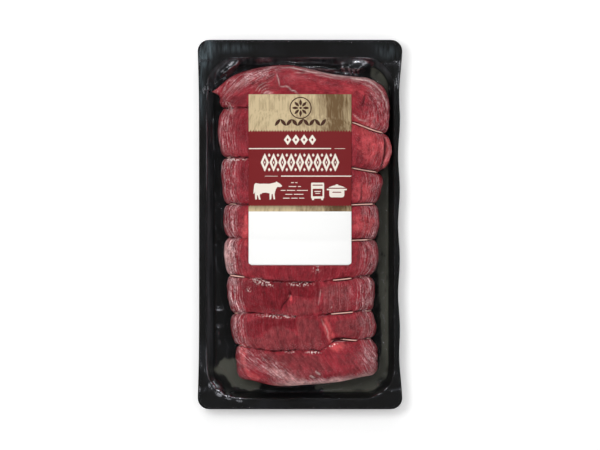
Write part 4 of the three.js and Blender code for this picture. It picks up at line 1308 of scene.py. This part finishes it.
class ROASTPACK_OT_ties(bpy.types.Operator):
    """Builds the seven loops of twine, three strands laid together"""

    bl_idname = "roastpack.ties"
    bl_label = "Twine ties"

    def execute(self, context):
        look = context.scene.roast_pack_twine
        material = twine_material(look)
        for line in range(1, len(LOBES)):
            points, hollow, faces = self.twine(line, look)
            number = len(LOBES) - line
            piece = make_piece(f"twine_{number}", points, faces, material, {"hollow": hollow})
            dress(piece, "twine", f"twine_tie_{number}")
        return {"FINISHED"}

    @staticmethod
    def twine(line, look, steps=600, sides=9, strands=3):
        theta = np.linspace(0, 2 * np.pi, steps, endpoint=False)
        t = np.full(steps, float(line))
        floor = joint_skin(theta, t, np.full(steps, TIE_BITE["top"]))
        tangent = np.roll(floor, -1, 0) - np.roll(floor, 1, 0)
        tangent /= np.linalg.norm(tangent, axis=1, keepdims=True)
        out = np.cross(tangent, [0, 1, 0])
        out[:, 1] = 0
        out *= np.sign(np.sum(out * (floor - floor.mean(0)), axis=1, keepdims=True))
        out /= np.linalg.norm(out, axis=1, keepdims=True)
        is_open = openness(across_at(-np.cos(theta)), np.full(steps, line))
        sunk = TWINE_SUNK * (1 - is_open) * smooth_step(-0.45, -0.2, np.sin(theta))
        middle = floor + (TWINE_OUT + TWINE_RAISED * is_open - sunk)[:, None] * out
        across = np.cross(tangent, out)
        passed = np.cumsum(np.linalg.norm(np.roll(middle, -1, 0) - middle, axis=1))
        turns = round(passed[-1] * MM / look.lay)
        twist = 2 * np.pi * turns * passed / passed[-1]
        around = np.linspace(0, 2 * np.pi, sides, endpoint=False)
        angle = around[None, :] + np.zeros((steps, 1))
        crest = np.abs(np.cos(strands / 2 * (angle - twist[:, None])))
        radius = look.thickness / MM / 2 * (0.74 + 0.26 * crest)
        ring = np.cos(angle)[..., None] * out[:, None] + np.sin(angle)[..., None] * across[:, None]
        points = (middle[:, None] + radius[..., None] * ring).reshape(-1, 3)
        index = numbered(steps, sides)
        index = closed(np.concatenate([index, index[:1]]))
        return points, (1 - crest).ravel(), cells(index, turned=True)


# Where the tray's floor is painted paler, as lit past the joint, as outlines.
LIT_FLOOR_OUTLINES = [
    [
        (66, 46), (70, -60), (71, -110), (69, -128), (30, -136), (14, -140), (13, -145), (19, -144.6),
        (22, -150), (26, -150.6), (43, -149), (53.5, -147.4), (61, -149.4), (65, -149.6), (68, -143.5),
        (72, -139.5), (77, -135), (80, -131), (80.5, -60), (80, 40), (78, 56), (70, 58),
    ],
    [
        (-76.6, -129), (-72.8, -131.3), (-67.8, -132.4), (-64.2, -135.1), (-62.1, -140.4), (-59, -143),
        (-53.7, -143.9), (-44, -147), (-36, -146), (-34, -141), (-44, -136), (-50, -124), (-57, -118),
        (-62.1, -120.4), (-66.4, -118.4),
    ],
    [(64, 142), (78, 141), (80, 112), (76, 110), (71, 121), (63, 131)],
]
# Darker spots in the floor's painted light, and where the flange carries a painted reflection: x, y,
# radii, turn, amount.
FLOOR_DARK_SPOTS = [
    (72.5, -26, 1.0, 1.6, 0, 0.8),
    (74.5, -27.5, 0.8, 1.3, 0, 0.7),
    (77, -47, 0.9, 3, 0, 0.6),
    (75.6, -58, 0.8, 2, 0, 0.5),
    (79, -128, 4, 3, 40, 0.7),
    (72, -137, 5, 2.4, 30, 0.7),
    (52, -146.5, 5, 1.2, 0, 0.6),
]
FLANGE_SHEEN_SPOTS = [
    (-84, 152, 8, 13, 0, 1.0),
    (-87, 118, 3, 26, 0, 0.5),
    (-60, 155, 18, 4, 0, 0.35),
    (76, 152, 10, 6, -20, 0.4),
]


class ROASTPACK_OT_tray(bpy.types.Operator):
    """Builds the thermoformed tray with its rounded foot, rim and flange"""

    bl_idname = "roastpack.tray"
    bl_label = "Tray"

    def execute(self, context):
        look = context.scene.roast_pack_tray
        along = np.linspace(-SPINE, SPINE, 121)
        turn = np.linspace(0, np.pi, 161)[1:-1]
        places = np.concatenate(
            [
                np.stack([np.ones_like(along), along], -1),
                np.stack([np.cos(turn), SPINE + np.sin(turn)], -1),
                np.stack([-np.ones_like(along), -along], -1),
                np.stack([-np.cos(turn), -SPINE - np.sin(turn)], -1),
            ]
        )
        start, ray = pack_spokes(places)
        points = spoke_points(start, ray, tray_section(start, ray))
        index = closed(numbered(*points.shape[:2]))
        faces = cells(index, turned=True).tolist() + [list(range(len(places)))]
        x, y, z = points.reshape(-1, 3).T
        away = np.minimum.reduce([outline_distance(x, y, part) for part in LIT_FLOOR_OUTLINES])
        away += 1.3 * layered(x / 16, y / 24, 73) + 1.5 * layered(x / 4, y / 5, 71)
        on_floor = 1 - smooth_step(1.2, 2.2, z)
        # Painted light on the floor, with darker spots left in it.
        dry = smooth_step(0.7, -0.7, away) * on_floor * (1 - patches(x, y, FLOOR_DARK_SPOTS))
        # Painted reflection: the left and top walls are painted paler.
        on_wall = smooth_step(1, 6, z) * smooth_step(24, 20, z)
        to_left = smooth_step(-60, -76, x) * smooth_step(-150, -110, y)
        drawn = on_wall * np.clip(to_left + 0.8 * smooth_step(120, 138, y), 0, 1)
        # Painted reflection of the film on the flange's corners.
        rubbed = patches(x, y, FLANGE_SHEEN_SPOTS) * smooth_step(15, 22, z)
        masks = {"dry": dry, "drawn": drawn, "rubbed": rubbed}
        piece = make_piece("tray_sheet", points.reshape(-1, 3), faces, tray_material(look), masks)
        thicken(piece, PACK["sheet"])
        dress(piece, "black_tray", "tray")
        return {"FINISHED"}


# The rim's outline, with its corners cut.
RIM_OUTLINE = [
    (-74, 139), (-56, 147), (56, 147), (74, 139), (82.5, 121), (82.5, -127), (74, -145), (56, -153),
    (-56, -153), (-74, -145), (-82, -127), (-82, 121),
]
# Where the film bulges off the wall, as ellipses: x, y, radii and turn.
BULGES = [
    (48, 139, 19, 9, 0),
    (20, 138.2, 15, 3.6, -6),
    (-62, 138, 17, 9, 40),
    (-30, 146, 12, 4, 5),
    (-74, -141, 13, 10, -45),
]
# Wrinkles that stand up in the film off the joint: path, height, half width and how crumpled.
WRINKLES = [
    ([(-83, 109), (-81.5, 118), (-77, 125), (-70, 133), (-62, 140), (-53, 145), (-44, 147)], 1.6, 3.4, 0.15),
    ([(-65, 136.5), (-59, 140.5), (-53, 143)], 1.9, 2.4, 1.0),
    ([(-70, 127), (-64, 132), (-58, 137)], 0.9, 1.4, 0.2),
    ([(-40, 142.5), (-32, 145), (-24, 144.6)], 1.1, 1.8, 0.7),
    ([(-14, 143), (8, 145), (24, 144.5), (40, 142.5)], 0.6, 2.8, 0.2),
    ([(45, 140.5), (52, 142.6), (59, 143), (64, 140)], 2.1, 3.2, 1.0),
    ([(61, 144), (64.5, 141.5), (62.5, 137.5)], 1.2, 1.3, 0.8),
    ([(36.5, 144), (37.5, 138), (40.5, 132), (46, 127)], 1.5, 1.3, 0.8),
    ([(44.5, 141), (43, 136), (46, 130)], 1.2, 0.9, 0.8),
    ([(48.5, 141), (47, 136), (48.5, 130.5)], 1.2, 0.9, 0.8),
    ([(53, 140.5), (51, 136), (51, 131)], 1.1, 0.9, 0.7),
    ([(2, 138.6), (8, 137.9), (14, 136.8), (25, 136), (35, 134)], 0.9, 1.2, 0.6),
    ([(66, 129), (67, 132), (69, 136)], 1.2, 1.4, 0.5),
    ([(82, 141), (85.5, 140.6), (89, 139)], 2.1, 2.4, 1.0),
    ([(84.5, 137), (86.5, 129), (85, 119)], 1.3, 1.6, 0.4),
    ([(-83, 98), (-81.5, 80), (-82, 60), (-82.5, 30)], 0.5, 1.6, 0.2),
    ([(-79, 94), (-78, 82), (-79, 66), (-78.5, 40)], 0.9, 1.4, 0.3),
    ([(-75, -73), (-72, -74.5), (-67.5, -73.5)], 1.5, 1.1, 1.0),
    ([(-74, -88), (-71.5, -90.2), (-68, -89)], 1.5, 1.1, 1.0),
    ([(-73.5, -94), (-72.5, -96), (-72.6, -99)], 1.3, 1.1, 1.0),
    ([(-72, -102.5), (-71, -104.5), (-70.6, -107)], 1.3, 1.1, 0.9),
    ([
        (-85, -106), (-84.5, -122), (-82, -131), (-77.5, -138),
        (-68, -146), (-50, -154), (-42, -161),
    ], 1.25, 3.0, 0.15),
    ([(-80, -139.5), (-76, -142.4), (-72.5, -142)], 2.2, 2.6, 1.0),
    ([(-74, -144.5), (-70, -147.5), (-66, -147.5)], 2.4, 2.6, 1.0),
    ([(-66, -148), (-62, -150.5), (-57, -150.5)], 2.4, 2.6, 1.0),
    ([(66, -140), (73, -143.5), (78, -146)], 0.7, 1.6, 0.15),
    ([(60, -146), (64, -150), (72, -149)], 1.1, 1.4, 0.3),
    ([(18, -146), (22, -150.5), (27, -151)], 1.0, 1.3, 0.4),
    ([(84, -128), (85.5, -136), (88, -141)], 0.6, 1.4, 0.1),
]
# Creases pressed across the flange where the trays of a sheet join.
SEAMS = [
    [(-90, 144.3), (-78, 144)],
    [(76, 141), (90, 142.5)],
    [(-90, -145.5), (-80, -145)],
    [(80, -146), (90, -144.8)],
]


class ROASTPACK_OT_film(bpy.types.Operator):
    """Builds the clear film: tight over the joint, down to the floor and out over the flange"""

    bl_idname = "roastpack.film"
    bl_label = "Skin film"

    def execute(self, context):
        look = context.scene.roast_pack_film
        shape = joint_shape()
        base, normals, cover = (shape[name][::2, ::2] for name in ("base", "normals", "cover"))
        over = base + normals * (FILM_CLEARANCE + cover)[..., None]
        index = numbered(*cover.shape)
        loop = np.concatenate([index[0, :-1], index[:-1, -1], index[-1, :0:-1], index[:0:-1, 0]])
        edge = over.reshape(-1, 3)[loop]
        # The spokes go through the even skin, so that no two of them cross beside a notch.
        start, ray = pack_spokes(base.reshape(-1, 3)[loop, :2])
        skirt, loose, crumpled = self.skirt(edge, start, ray)
        points = np.concatenate([over.reshape(-1, 3), skirt.reshape(-1, 3)])
        rings = numbered(*loose.shape, start=index.size)
        rings = closed(np.concatenate([loop[None], rings]))
        faces = np.concatenate([cells(index), cells(rings, turned=True)])
        cling = np.zeros_like(loose)
        cling[: len(CLING_FADE)] = np.array(CLING_FADE)[:, None]
        on_joint = {"cling": 1.0, "sealed": 1.0, "crumpled": 0.0}
        off_joint = {"cling": cling, "sealed": np.maximum(cling, 1 - loose), "crumpled": crumpled}
        masks = {
            name: np.concatenate([np.full(index.size, value), off_joint[name].ravel()])
            for name, value in on_joint.items()
        }
        fibres = np.stack([shape[name][::2, ::2] for name in ("along", "across")], -1)
        free = np.stack([skirt[..., 1], 40 + skirt[..., 2]], -1)
        flat = np.concatenate([fibres.reshape(-1, 2), free.reshape(-1, 2)])
        masks["grain"] = np.concatenate([flat, np.zeros((len(flat), 1))], axis=1)
        piece = make_piece("film", points, faces, film_material(look), masks)
        thicken(piece, look.thickness / MM)
        dress(piece, "clear_film", "skin_film")
        return {"FINISHED"}

    @staticmethod
    def skirt(edge, start, ray):
        """The film from the joint's girth down to the tray and out to the flange's edge, and how far
        it lies loose and crumpled there, as 0 to 1."""
        section = tray_section(start, ray, FILM_LIFT)
        girth = np.linalg.norm(edge[:, :2] - np.stack([np.zeros(len(edge)), start], -1), axis=1)
        rim = reach_to_rectangle(start, ray, RIM, FILM_LIFT + 0.05)
        landing = np.minimum(girth + FILM_TENT, rim - FILM_LEDGE)
        steps = np.arange(len(section), dtype=float)
        outer = np.zeros((SKIRT_ROWS, len(edge), 2))
        for k in range(len(edge)):
            first = np.interp(landing[k], section[:, k, 0], steps)
            at = np.linspace(first, steps[-1], SKIRT_ROWS)
            outer[:, k] = np.stack([np.interp(at, steps, section[:, k, axis]) for axis in (0, 1)], -1)
        hang = np.stack([girth, edge[:, 2]], -1)
        tent = bend(hang, lerp(hang, outer[0], np.array(TENT_CORNER)), outer[0], TENT_STEPS)[1:-1]
        whole = np.concatenate([tent, outer])
        # Over a narrow gap the film sags in a shallow trough and doesn't reach the floor.
        gap = rim - girth
        lowest = 1.5 + 17 * (1 - smooth_step(6, 18, gap)) - 6 * smooth_step(14, 20, gap)
        share = np.clip((whole[..., 0] - girth) / gap, 0, 1)
        trough = lerp(lowest, PACK["depth"], np.abs(2 * share - 1) ** 2.2)
        rise = trough - whole[..., 1]
        ends = smooth_step(0, 0.12, share) * smooth_step(1, 0.9, share)
        whole[..., 1] += ends * 0.5 * (rise + np.sqrt(rise**2 + 4))
        points = spoke_points(start, ray, whole)
        x, y = points[..., 0], points[..., 1]
        fade = np.ones((len(points), 1))
        fade[:6, 0] = np.linspace(0, 1, 6)
        # Where the film bulges off the wall it stays 2 mm below the rim and doesn't sink further.
        for bulge in BULGES:
            rise = np.maximum(0, PACK["depth"] - 2 - points[..., 2])
            points[..., 2] += fade * patch(x, y, (*bulge, 1)) * rise
        lift, crumpled = np.zeros_like(x), np.zeros_like(x)
        ragged = 0.75 + 0.5 * layered(x / 4, y / 4, 81)
        for path, height, width, crumple in WRINKLES:
            away, share = near_path(x, y, path)
            ridge = np.exp(-((away / width) ** 2)) * tapered(share) * ragged
            lift = np.maximum(lift, height * ridge)
            crumpled = np.maximum(crumpled, crumple * ridge)
        for path in SEAMS:
            ridge = np.exp(-((near_path(x, y, path)[0] / SEAM["width"]) ** 2))
            lift += SEAM["height"] * ridge
            crumpled = np.maximum(crumpled, SEAM["crumpled"] * ridge)
        lift[-8:] *= np.linspace(1, 0, 8)[:, None] ** 0.5
        free = 0.4 * smooth_step(-2, -5, outline_distance(x, y, RIM_OUTLINE))
        loose = np.maximum(free, np.clip(lift / 0.25, 0, 1))
        slope = grid_normals(points)
        slope *= np.sign(slope[..., 2:] + 1e-9)
        return points + slope * (lift * fade)[..., None], loose, np.clip(crumpled, 0, 1)


def box_distance(x, y, cx, cy, half_x, half_y, radius=0.0, turn=0.0):
    """The distance to a rounded box, negative inside."""
    c, s = np.cos(np.radians(turn)), np.sin(np.radians(turn))
    a = np.abs((x - cx) * c + (y - cy) * s) - half_x + radius
    b = np.abs((y - cy) * c - (x - cx) * s) - half_y + radius
    return np.hypot(np.maximum(a, 0), np.maximum(b, 0)) + np.minimum(np.maximum(a, b), 0) - radius


def leaf_distance(x, y, cx, cy, half_long, half_wide, turn=0.0):
    """About the distance to a leaf, pointed at both ends, negative inside."""
    c, s = np.cos(np.radians(turn)), np.sin(np.radians(turn))
    a, b = (x - cx) * c + (y - cy) * s, (y - cy) * c - (x - cx) * s
    return (np.abs(b) / half_wide + (a / half_long) ** 2 - 1) * half_wide * 0.8


# A cow seen from its right side.
COW = [
    (-38.8, 36.3), (-35.5, 35.6), (-31, 35.7), (-27, 35.5), (-23.6, 36.3), (-21.2, 36.9), (-20.6, 37.8),
    (-19.4, 36.8), (-17.9, 36.0), (-15.7, 34.0), (-15.9, 33.0), (-17.6, 32.7), (-19.8, 32.9),
    (-21.0, 31.0), (-21.8, 28.6), (-22.2, 26.4), (-21.7, 22.0), (-23.2, 22.0), (-24.0, 26.6),
    (-24.8, 26.8), (-25.1, 21.8), (-26.6, 21.8), (-26.7, 27.2), (-30.0, 27.9), (-33.0, 27.6),
    (-33.8, 26.5), (-34.8, 26.9), (-35.2, 25.4), (-34.4, 21.8), (-35.9, 21.8), (-37.0, 25.6),
    (-37.6, 25.8), (-37.7, 21.9), (-39.2, 21.9), (-39.5, 26.4), (-39.1, 30.0), (-39.9, 27.0),
    (-40.8, 27.0), (-40.4, 31.5), (-40.0, 34.9),
]
# Small print, drawn as plain bars: y, and from where to where each bar runs.
SMALL_PRINT = [
    (36.6, [(-8, -5.4), (-4.4, -2)]),
    (33.2, [(-10, -3.2), (-2.0, 1)]),
    (29.8, [(-17, -12.6), (-11.6, -4), (-3, 7)]),
    (26.4, [(-13, -6.4), (-5.4, 3)]),
    (23.0, [(-15, -9), (-8, -2), (-1, 4)]),
]


def label_signs(x, y):
    """Distances to the edges of the cream and the brown shapes printed on the label."""
    box = functools.partial(box_distance, x, y)
    leaf = functools.partial(leaf_distance, x, y)

    def lozenge(cx, cy, half_x, half_y):
        slant = np.hypot(half_x, half_y)
        return (np.abs(x - cx) * half_y + np.abs(y - cy) * half_x - half_x * half_y) / slant

    cream = [box(-8.8, 66.4, 36.1, 0.45), box(34.8, 66.4, 4.8, 0.2)]
    cream += [box(14.1, 42.3, 30.8, 0.45), box(-25.1, 42.3, 5.7, 0.2)]
    # The two headings: a short row of lozenges, and a frieze of tall open ones with dots between.
    for cx in (-10.8, -3.6, 3.6, 10.8):
        cream.append(np.maximum(lozenge(cx, 74.1, 3.3, 4.7), -lozenge(cx, 74.1, 1.0, 1.6)))
    for cx in 7.7 * np.arange(-4, 5):
        cream.append(np.maximum(lozenge(cx, 54.3, 3.6, 8.3), -lozenge(cx, 54.3, 1.5, 4.2)))
        cream.append(lozenge(cx, 54.3, 0.6, 1.5))
    for cx in 7.7 * np.arange(-3.5, 4):
        cream += [lozenge(cx, 60.6, 1.2, 1.7), lozenge(cx, 48.0, 1.2, 1.7)]
    cream.append(outline_distance(x, y, COW))
    cream += [
        box((start + stop) / 2, line, (stop - start) / 2, 0.33, 0.25)
        for line, words in SMALL_PRINT
        for start, stop in words
    ]
    # An oven and a lidded pot.
    oven = box(15.4, 29.6, 5.7, 7.0, 0.9)
    for hollow in (box(15.4, 27.9, 4.3, 3.3, 0.5), box(15.4, 34.4, 4.4, 0.45, 0.3)):
        oven = np.maximum(oven, -hollow)
    oven = np.minimum(oven, np.minimum(box(15.4, 28.9, 3.0, 0.4, 0.3), box(15.4, 27.2, 2.2, 0.35, 0.3)))
    pot = np.maximum(box(32.2, 27.5, 6.6, 3.8, 2.2), -box(32.2, 28.2, 3.9, 0.4, 0.3))
    cream += [oven, box(11.4, 22.2, 0.9, 0.9, 0.2), box(19.4, 22.2, 0.9, 0.9, 0.2), pot]
    cream += [box(32.2, 30.6, 8.8, 0.7, 0.6), np.maximum(leaf(32.2, 32.1, 7.6, 2.2), 32.1 - y)]
    cream.append(box(32.2, 34.4, 1.2, 0.7, 0.6))
    # On the wood: a ring round a rosette of eight leaves, over a garland of slanted leaves.
    reach, angle = np.hypot(x - 0.5, y - 102), np.arctan2(y - 102, x - 0.5)
    petal = np.mod(angle + np.pi / 8, np.pi / 4) - np.pi / 8
    brown = [np.abs(reach - 9.2) - 0.5, reach - 1.1]
    brown.append(leaf_distance(reach * np.cos(petal), reach * np.sin(petal), 4.7, 0, 2.9, 1.2))
    brown += [leaf(5 * k + 0.4, 89.3, 3.9, 1.5, 52 * (-1) ** k) for k in range(-4, 5)]
    return np.minimum.reduce(cream), np.minimum.reduce(brown)


def label_height(x, y):
    """The height of the label's underside over points of the plan."""
    u, t = np.zeros_like(x), np.zeros_like(x)
    # Each round finds the lobe from the last round's u, and u from that lobe's girth.
    for _ in range(12):
        lines = line_heights(u)
        lobe = np.clip((y[None] >= lines[1:-1]).sum(0), 0, len(LOBES) - 1)
        low, high = lines_beside(lines, lobe)
        t = np.clip(lobe + (y - low) / (high - low), 0, len(LOBES))
        x0 = joint_skin(np.zeros_like(t), t, notched=False)[..., 0]
        x1 = joint_skin(np.full_like(t, np.pi), t, notched=False)[..., 0]
        u = np.clip(2 * (x - x0) / (x1 - x0) - 1, -0.999, 0.999)
    theta = np.arccos(-u)
    is_tie = (np.round(t) > 0) & (np.round(t) < len(LOBES))
    height = joint_skin(theta, t, notched=False)[..., 2] + LABEL_LIFT
    return height - LABEL_DIP * near_line(t) * is_tie


class ROASTPACK_OT_label(bpy.types.Operator):
    """Builds the paper label that lies on the film, with its print"""

    bl_idname = "roastpack.label"
    bl_label = "Label"

    def execute(self, context):
        look = context.scene.roast_pack_label
        across = np.linspace(LABEL["left"], LABEL["right"], 181)
        along = spread(260, lambda y: np.where(y > 10, 1.3, 0.4), LABEL["bottom"], LABEL["top"])
        x, y = np.meshgrid(across, along)
        # Its two lower corners are round.
        corner, half = LABEL["corner"], LABEL["right"]
        low = np.maximum(0, LABEL["bottom"] + corner - y)
        draw_in = corner - np.sqrt(np.maximum(0, corner**2 - low**2))
        x = x * (half - draw_in) / half
        z = label_height(x, y) + LABEL["thickness"]
        points = np.stack([x, y, z], -1)
        cream, brown = label_signs(x, y)
        masks = {"cream": cream.ravel(), "brown": brown.ravel()}
        faces = cells(numbered(*x.shape))
        piece = make_piece("label_sheet", points.reshape(-1, 3), faces, label_material(look), masks)
        thicken(piece, LABEL["thickness"])
        dress(piece, "label_paper", "label")
        return {"FINISHED"}


BOARD_HALF = 4000
SENSOR_WIDTH = 36
CAMERA_SHIFT = -0.44
VIEW_LEVEL = 22  # the height at which the view has its given width
AMBIENT = 0.05
# Soft lights: name, place and size in metres, the setting that gives the power and the share of it,
# and whether shiny faces mirror the light.
LIGHTS = [
    ("overhead", (0, 0, 1.5), (1.3, 1.3), "sky", 1, False),
    ("key", (-0.55, 0.32, 2.0), (0.6, 0.6), "key", 1, False),
    ("top", (-0.1, 1.5, 1.4), (0.9, 0.14), "top", 1, True),
    ("left_fill", (-1.35, 0, 1.25), (1.6, 1.2), "fill", 0.9, True),
    ("right_fill", (1.35, 0, 1.25), (1.6, 1.2), "fill", 0.75, True),
    ("top_fill", (0, 1.35, 1.25), (1.6, 1.2), "fill", 1.1, True),
    ("bottom_fill", (0, -1.35, 1.25), (1.6, 1.2), "fill", 0.95, True),
]


class ROASTPACK_OT_stage(bpy.types.Operator):
    """Sets the pale floor, the soft lights and the camera straight overhead"""

    bl_idname = "roastpack.stage"
    bl_label = "Stage"

    def execute(self, context):
        scene, look = context.scene, context.scene.roast_pack_stage
        signs = ((-1, -1), (1, -1), (1, 1), (-1, 1))
        corners = [(BOARD_HALF * x, BOARD_HALF * y, 0) for x, y in signs]
        make_piece("floor", corners, [(0, 1, 2, 3)], floor_material(look))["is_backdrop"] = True
        camera = bpy.data.objects.new("camera", bpy.data.cameras.new("camera"))
        camera.location = (0, CAMERA_SHIFT * MM, look.camera_height)
        camera.data.sensor_width = SENSOR_WIDTH
        camera.data.lens = SENSOR_WIDTH * (look.camera_height - VIEW_LEVEL * MM) / look.view_width
        camera.data.clip_end = 20
        scene.collection.objects.link(camera)
        scene.camera = camera
        for name, place, size, setting, share, glossy in LIGHTS:
            self.light(name, place, size, getattr(look, setting) * share, glossy)
        world = bpy.data.worlds.new("studio")
        scene.world = world
        world.use_nodes = True
        for name, value in (("Color", (1, 1, 1, 1)), ("Strength", AMBIENT)):
            world.node_tree.nodes["Background"].inputs[name].default_value = value
        scene.view_settings.view_transform = "Standard"
        return {"FINISHED"}

    @staticmethod
    def light(name, place, size, power, glossy):
        lamp = bpy.data.lights.new(name, "AREA")
        lamp.shape = "RECTANGLE"
        lamp.size, lamp.size_y = size
        lamp.energy = power
        lit = bpy.data.objects.new(name, lamp)
        lit.location = place
        lit.visible_camera = False
        lit.visible_glossy = glossy
        direction = -lit.location
        lit.rotation_euler = direction.to_track_quat("-Z", "Y").to_euler()
        bpy.context.scene.collection.objects.link(lit)


class ROASTPACK_PT_sidebar(bpy.types.Panel):
    bl_idname = "ROASTPACK_PT_sidebar"
    bl_label = "Roast pack"
    bl_space_type = "VIEW_3D"
    bl_region_type = "UI"
    bl_category = "Roast pack"

    def draw(self, context):
        for title, name, _, operator in STEPS:
            box = self.layout.box()
            box.operator(operator.bl_idname, text=title)
            settings = getattr(context.scene, name)
            for setting in settings.__annotations__:
                box.prop(settings, setting)


STEPS = [
    ("Tray", "roast_pack_tray", RoastPackTray, ROASTPACK_OT_tray),
    ("Beef joint", "roast_pack_beef", RoastPackBeef, ROASTPACK_OT_beef),
    ("Twine ties", "roast_pack_twine", RoastPackTwine, ROASTPACK_OT_ties),
    ("Skin film", "roast_pack_film", RoastPackFilm, ROASTPACK_OT_film),
    ("Label", "roast_pack_label", RoastPackLabel, ROASTPACK_OT_label),
    ("Stage", "roast_pack_stage", RoastPackStage, ROASTPACK_OT_stage),
]


def register():
    for _, name, group, operator in STEPS:
        bpy.utils.register_class(group)
        setattr(bpy.types.Scene, name, bpy.props.PointerProperty(type=group))
        bpy.utils.register_class(operator)
    bpy.utils.register_class(ROASTPACK_PT_sidebar)


def unregister():
    bpy.utils.unregister_class(ROASTPACK_PT_sidebar)
    for _, name, group, operator in reversed(STEPS):
        bpy.utils.unregister_class(operator)
        delattr(bpy.types.Scene, name)
        bpy.utils.unregister_class(group)


def main():
    register()
    bpy.ops.roastpack.stage()
    bpy.ops.roastpack.tray()
    bpy.ops.roastpack.beef()
    bpy.ops.roastpack.ties()
    bpy.ops.roastpack.film()
    bpy.ops.roastpack.label()
    bpy.context.view_layer.update()
    visual_box = [list(corner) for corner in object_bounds()]


if __name__ == "__main__":
    main()
